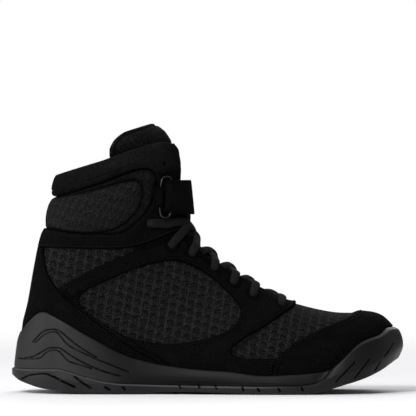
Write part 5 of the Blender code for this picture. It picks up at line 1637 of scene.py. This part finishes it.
class SHOE_OT_strap(bpy.types.Operator):
    """Ankle strap folded through its ring, the ring, and the tab that holds it"""
    bl_idname = "shoe.strap"
    bl_label = "Strap"

    def execute(self, context):
        line, outward, run = shaft_front()
        clear = GAP + PANEL_UNDER_STRAP + 4.0 * GAP
        leg_off = clear + STRAP_THICKNESS + 2.0 * GAP + RING_WIRE

        def place(length, distance):
            direction = np.array([np.interp(length, run, column) for column in outward.T])
            spot = np.array([np.interp(length, run, column) for column in line.T])
            return spot + unit(direction) * distance

        lengths = np.linspace(0.0, run[-1] / 2.0, 200)
        spots = np.array([place(length, leg_off)[0] for length in lengths])
        front_run = np.interp(RING_FRONT, spots, lengths)
        back_run = np.interp(RING_BACK, spots, lengths)
        front_leg = place(front_run, leg_off)
        back_leg = place(back_run, leg_off)
        ring_way = unit(front_leg - back_leg)
        ring_out = np.array((ring_way[1], -ring_way[0]))
        turn = np.linspace(0.0, FULL_CIRCLE, 72, endpoint=False)
        half_width = np.linalg.norm(front_leg - back_leg) / 2.0
        wide = np.sign(np.cos(turn)) * np.abs(np.cos(turn)) ** 0.66 * half_width
        tall = np.sign(np.sin(turn)) * np.abs(np.sin(turn)) ** 0.5 * RING_HALF_HEIGHT
        spot = (front_leg + back_leg) / 2.0 + ring_way * wide[:, None]
        path = np.column_stack((spot[:, 0] - RING_SLOPE * tall, spot[:, 1], STRAP_MIDDLE + tall))
        out = np.broadcast_to((*ring_out, 0.0), path.shape)
        ring = swept("strap_ring_wire", path, out, RING_FACE, RING_FACE, round_section(14, 2.0), closed=True)
        settle(ring, finish("shoe_wire"), "wire", "strap_ring", crease=60.0)

        fold = RING_WIRE + 2.0 * GAP + STRAP_THICKNESS / 2.0
        inner_off = clear + STRAP_THICKNESS / 2.0
        outer_off = inner_off + STRAP_THICKNESS + 2.0 * GAP
        anchor_run = run[-1] - back_run
        inside = [place(length, inner_off) for length in np.linspace(anchor_run, front_run + 2.0, 60)]
        bend = half_turn(front_leg - ring_way * FOLD_BACK, ring_out, -ring_way, fold)
        outside = []
        for length in np.linspace(front_run + 2.0, anchor_run - END_SHORT, 60):
            share = ease(length, front_run, front_run + 14.0)
            start_off = leg_off + fold
            outside.append(place(length, start_off + (outer_off - start_off) * share))
        band = inside + bend + outside
        from_fold = np.arange(len(band)) - len(inside) - len(bend) / 2.0
        pinch = 0.10 * np.exp(-(from_fold / 14.0) ** 2) + 0.08 * np.exp(-(from_fold / 5.0) ** 2)
        narrow = STRAP_WIDTH * pinch
        strap = upright_band("strap_band", band, STRAP_THICKNESS, STRAP_WIDTH - narrow, narrow * 0.35)
        settle(strap, finish("shoe_strap"), "webbing", "strap", crease=60.0)

        tab_fold = RING_WIRE + GAP + TAB_THICKNESS / 2.0
        arms = [back_leg - ring_way * TAB_LENGTH * share for share in (1.0, 0.75, 0.5, 0.25)]
        tab_line = [arm - ring_out * tab_fold for arm in arms]
        tab_line += half_turn(back_leg, ring_out, ring_way, tab_fold)
        tab_line += [arm + ring_out * tab_fold for arm in reversed(arms)]
        tab = upright_band("ring_tab_loop", tab_line, TAB_THICKNESS, TAB_WIDTH)
        settle(tab, finish("shoe_strap"), "webbing", "ring_tab", crease=60.0)
        return {"FINISHED"}


# Sewn lines: side-view stroke, distance to the left of its direction, and the panel's height
SewnLine = namedtuple("SewnLine", "stroke offset lift")
SEWN = tuple(SewnLine(stroke, offset, lift) for stroke, offsets, lift in (
    (TOE_GUARD[0], (SEAM_NEAR, SEAM_FAR), overlay_lift),
    (TOE_GUARD[1], (SEAM_NEAR, -SEAM_NEAR, -SEAM_FAR), overlay_lift),
    (SADDLE[0], (-SEAM_NEAR, -SEAM_FAR), overlay_lift),
    (QUARTER_WINDOW[0], (SEAM_NEAR, SEAM_FAR), overlay_lift),
    (EYESTAY_SEAM, (SEAM_NEAR,), overlay_lift),
    (HEEL_WINDOW[1], (SEAM_NEAR, SEAM_FAR), overlay_lift),
    (HEEL_FOXING[1][6:], (SEAM_NEAR,), overlay_lift),
    (HEEL_FOXING[1], (-SEAM_NEAR, -SEAM_FAR), overlay_lift),
    (COLLAR_FRAME[0], (SEAM_NEAR,), collar_lift),
    (PAD_WINDOW[0][:13], (-PAD_SEAM,), collar_lift),
    (PAD_WINDOW[0][17:], (-CUFF_TROUGH,), collar_lift),
) for offset in offsets)


# One bead of thread, as points and faces of unit size, sorted because a new sphere's order can change
def thread_bead():
    bpy.ops.object.select_all(action="DESELECT")
    bpy.ops.mesh.primitive_uv_sphere_add(segments=6, ring_count=4, radius=1.0)
    bead = bpy.context.object
    points = np.array([vertex.co for vertex in bead.data.vertices])
    order = np.lexsort(points.round(4).T)
    rank = np.argsort(order).tolist()
    faces = []
    for face in bead.data.polygons:
        corners = [rank[corner] for corner in face.vertices]
        start = corners.index(min(corners))
        faces.append(tuple(corners[start:] + corners[:start]))
    bpy.data.objects.remove(bead, do_unlink=True)
    return points[order], sorted(faces)


# Evenly spaced places along a sewn line on one side, kept off the throat and the sole
def sewn_places(sewn, side, pitch):
    corners = len(sewn.stroke)
    line = near_side(rows_at(sewn.stroke, np.linspace(0.0, corners - 1.0, 30 * corners)))
    run = unit(np.gradient(line, axis=0))
    line = line + np.column_stack((-run[:, 1], run[:, 0])) * sewn.offset
    row, turn, found = surface_places(line[:, 0], line[:, 1], side)
    points = last_points(row, turn)[found]
    length = running_length(points)
    stops = np.arange(pitch / 2.0, length[-1], pitch)
    row = np.interp(stops, length, row[found])
    turn = np.interp(stops, length, turn[found])
    points = last_points(row, turn)
    normals = last_normals(row, turn)
    well_inside = np.full(len(row), 2.0)
    lift = sewn.lift(row, turn, well_inside, points)
    keep = (throat_depth(row, turn, points) > 1.0) & (above_rim(points) > 4.0)
    return points + normals * (lift + STITCH_PROUD)[:, None], np.gradient(points, axis=0), normals, keep


class SHOE_OT_stitches(bpy.types.Operator):
    """Rows of stitches along the panels' edges"""
    bl_idname = "shoe.stitches"
    bl_label = "Stitches"

    def execute(self, context):
        bead, faces = thread_bead()
        half = np.array((sizes().stitch_length / MM / 2.0, *STITCH_HALF))
        points = []
        for sewn in SEWN:
            for side in BOTH_SIDES:
                spots, run, normals, keep = sewn_places(sewn, side, sizes().stitch_pitch / MM)
                for spot, way, out in zip(spots[keep], run[keep], normals[keep]):
                    way = unit(way - out * out.dot(way))
                    axes = np.stack((way, np.cross(out, way), out))
                    points.append(spot + (bead * half) @ axes)
        every = np.concatenate(points) * MM - TABLE_MIDDLE
        data = bpy.data.meshes.new("stitch_rows")
        links = [tuple(corner + number * len(bead) for corner in face)
                 for number in range(len(points)) for face in faces]
        data.from_pydata(every.tolist(), [], links)
        data.update()
        rows = bpy.data.objects.new("stitch_rows", data)
        context.scene.collection.objects.link(rows)
        settle(rows, finish("shoe_thread"), "suede", crease=80.0)
        return {"FINISHED"}


class SHOE_OT_stage(bpy.types.Operator):
    """Pale floor, soft lights and the camera"""
    bl_idname = "shoe.stage"
    bl_label = "Stage"

    def execute(self, context):
        scene = context.scene
        bpy.ops.object.select_all(action="DESELECT")
        bpy.ops.mesh.primitive_plane_add(size=3.2, location=(0.0, 0.0, 0.0))
        floor = context.object
        floor.name = "studio_floor"
        floor.data.materials.append(floor_material("studio_floor", colours().floor))

        world = bpy.data.worlds.new("studio")
        world.use_nodes = True
        tree = world.node_tree
        white = (1.0, 1.0, 1.0, 1.0)
        fill = tree.nodes["Background"]
        fill.inputs["Color"].default_value = white
        fill.inputs["Strength"].default_value = 0.12
        backdrop = add_node(tree, "ShaderNodeBackground", {"Color": white, "Strength": 1.0})
        either = add_node(tree, "ShaderNodeMixShader", {
            "Fac": add_node(tree, "ShaderNodeLightPath").outputs["Is Camera Ray"],
            1: fill.outputs["Background"], 2: backdrop.outputs["Background"]})
        tree.links.new(either.outputs["Shader"], tree.nodes["World Output"].inputs["Surface"])
        scene.world = world
        scene.view_settings.view_transform = "Standard"

        # Name, place, target, size in metres and power in watts
        lights = (
            ("overhead", (0.0, 0.45, 2.0), (0.0, 0.3, 0.0), 3.0, 25.0),
            ("left_box", (-1.5, -0.45, 0.6), (-0.05, 0.0, 0.08), 1.0, 12.0),
            ("key_box", (-0.8, -1.7, 1.35), (0.0, 0.0, 0.1), 0.7, 40.0),
            ("right_box", (1.6, 0.4, 0.6), (0.1, 0.0, 0.05), 1.0, 1.0),
            ("back_box", (0.3, 1.7, 1.1), (0.0, 0.0, 0.1), 1.0, 8.0),
        )
        for name, spot, target, size, power in lights:
            light = bpy.data.lights.new(name, "AREA")
            light.size = size
            light.energy = power
            lamp = bpy.data.objects.new(name, light)
            lamp.location = spot
            lamp.visible_camera = False
            way = Vector(target) - Vector(spot)
            lamp.rotation_euler = way.to_track_quat("-Z", "Y").to_euler()
            scene.collection.objects.link(lamp)

        data = bpy.data.cameras.new("view")
        data.sensor_width = 36.0
        data.lens = data.sensor_width * sizes().camera_distance / sizes().view_width
        data.clip_end = 50.0
        camera = bpy.data.objects.new("view", data)
        camera.location = (0.0001, -sizes().camera_distance, SIGHT[1] * MM)
        camera.rotation_euler = (math.pi / 2.0, 0.0, 0.0)
        scene.collection.objects.link(camera)
        scene.camera = camera
        return {"FINISHED"}


OPERATORS = (
    SHOE_OT_stage, SHOE_OT_upper, SHOE_OT_overlays, SHOE_OT_collar, SHOE_OT_tongue, SHOE_OT_sole,
    SHOE_OT_laces, SHOE_OT_strap, SHOE_OT_stitches,
)


class SHOE_PT_panel(bpy.types.Panel):
    """Pieces of the shoe, with their sizes and colours"""
    bl_idname = "SHOE_PT_panel"
    bl_label = "Boxing Shoe"
    bl_space_type = "VIEW_3D"
    bl_region_type = "UI"
    bl_category = "Shoe"

    def draw(self, context):
        for group in (context.scene.shoe_sizes, context.scene.shoe_colours):
            column = self.layout.column()
            for key in group.__annotations__:
                column.prop(group, key)
        for operator in OPERATORS:
            self.layout.operator(operator.bl_idname)


CLASSES = (ShoeSizes, ShoeColours, *OPERATORS, SHOE_PT_panel)


def register():
    for kind in CLASSES:
        bpy.utils.register_class(kind)
    bpy.types.Scene.shoe_sizes = PointerProperty(type=ShoeSizes)
    bpy.types.Scene.shoe_colours = PointerProperty(type=ShoeColours)


def unregister():
    del bpy.types.Scene.shoe_colours
    del bpy.types.Scene.shoe_sizes
    for kind in reversed(CLASSES):
        bpy.utils.unregister_class(kind)


def main():
    register()
    for operator in OPERATORS:
        group, name = operator.bl_idname.split(".")
        getattr(getattr(bpy.ops, group), name)()


if __name__ == "__main__":
    main()
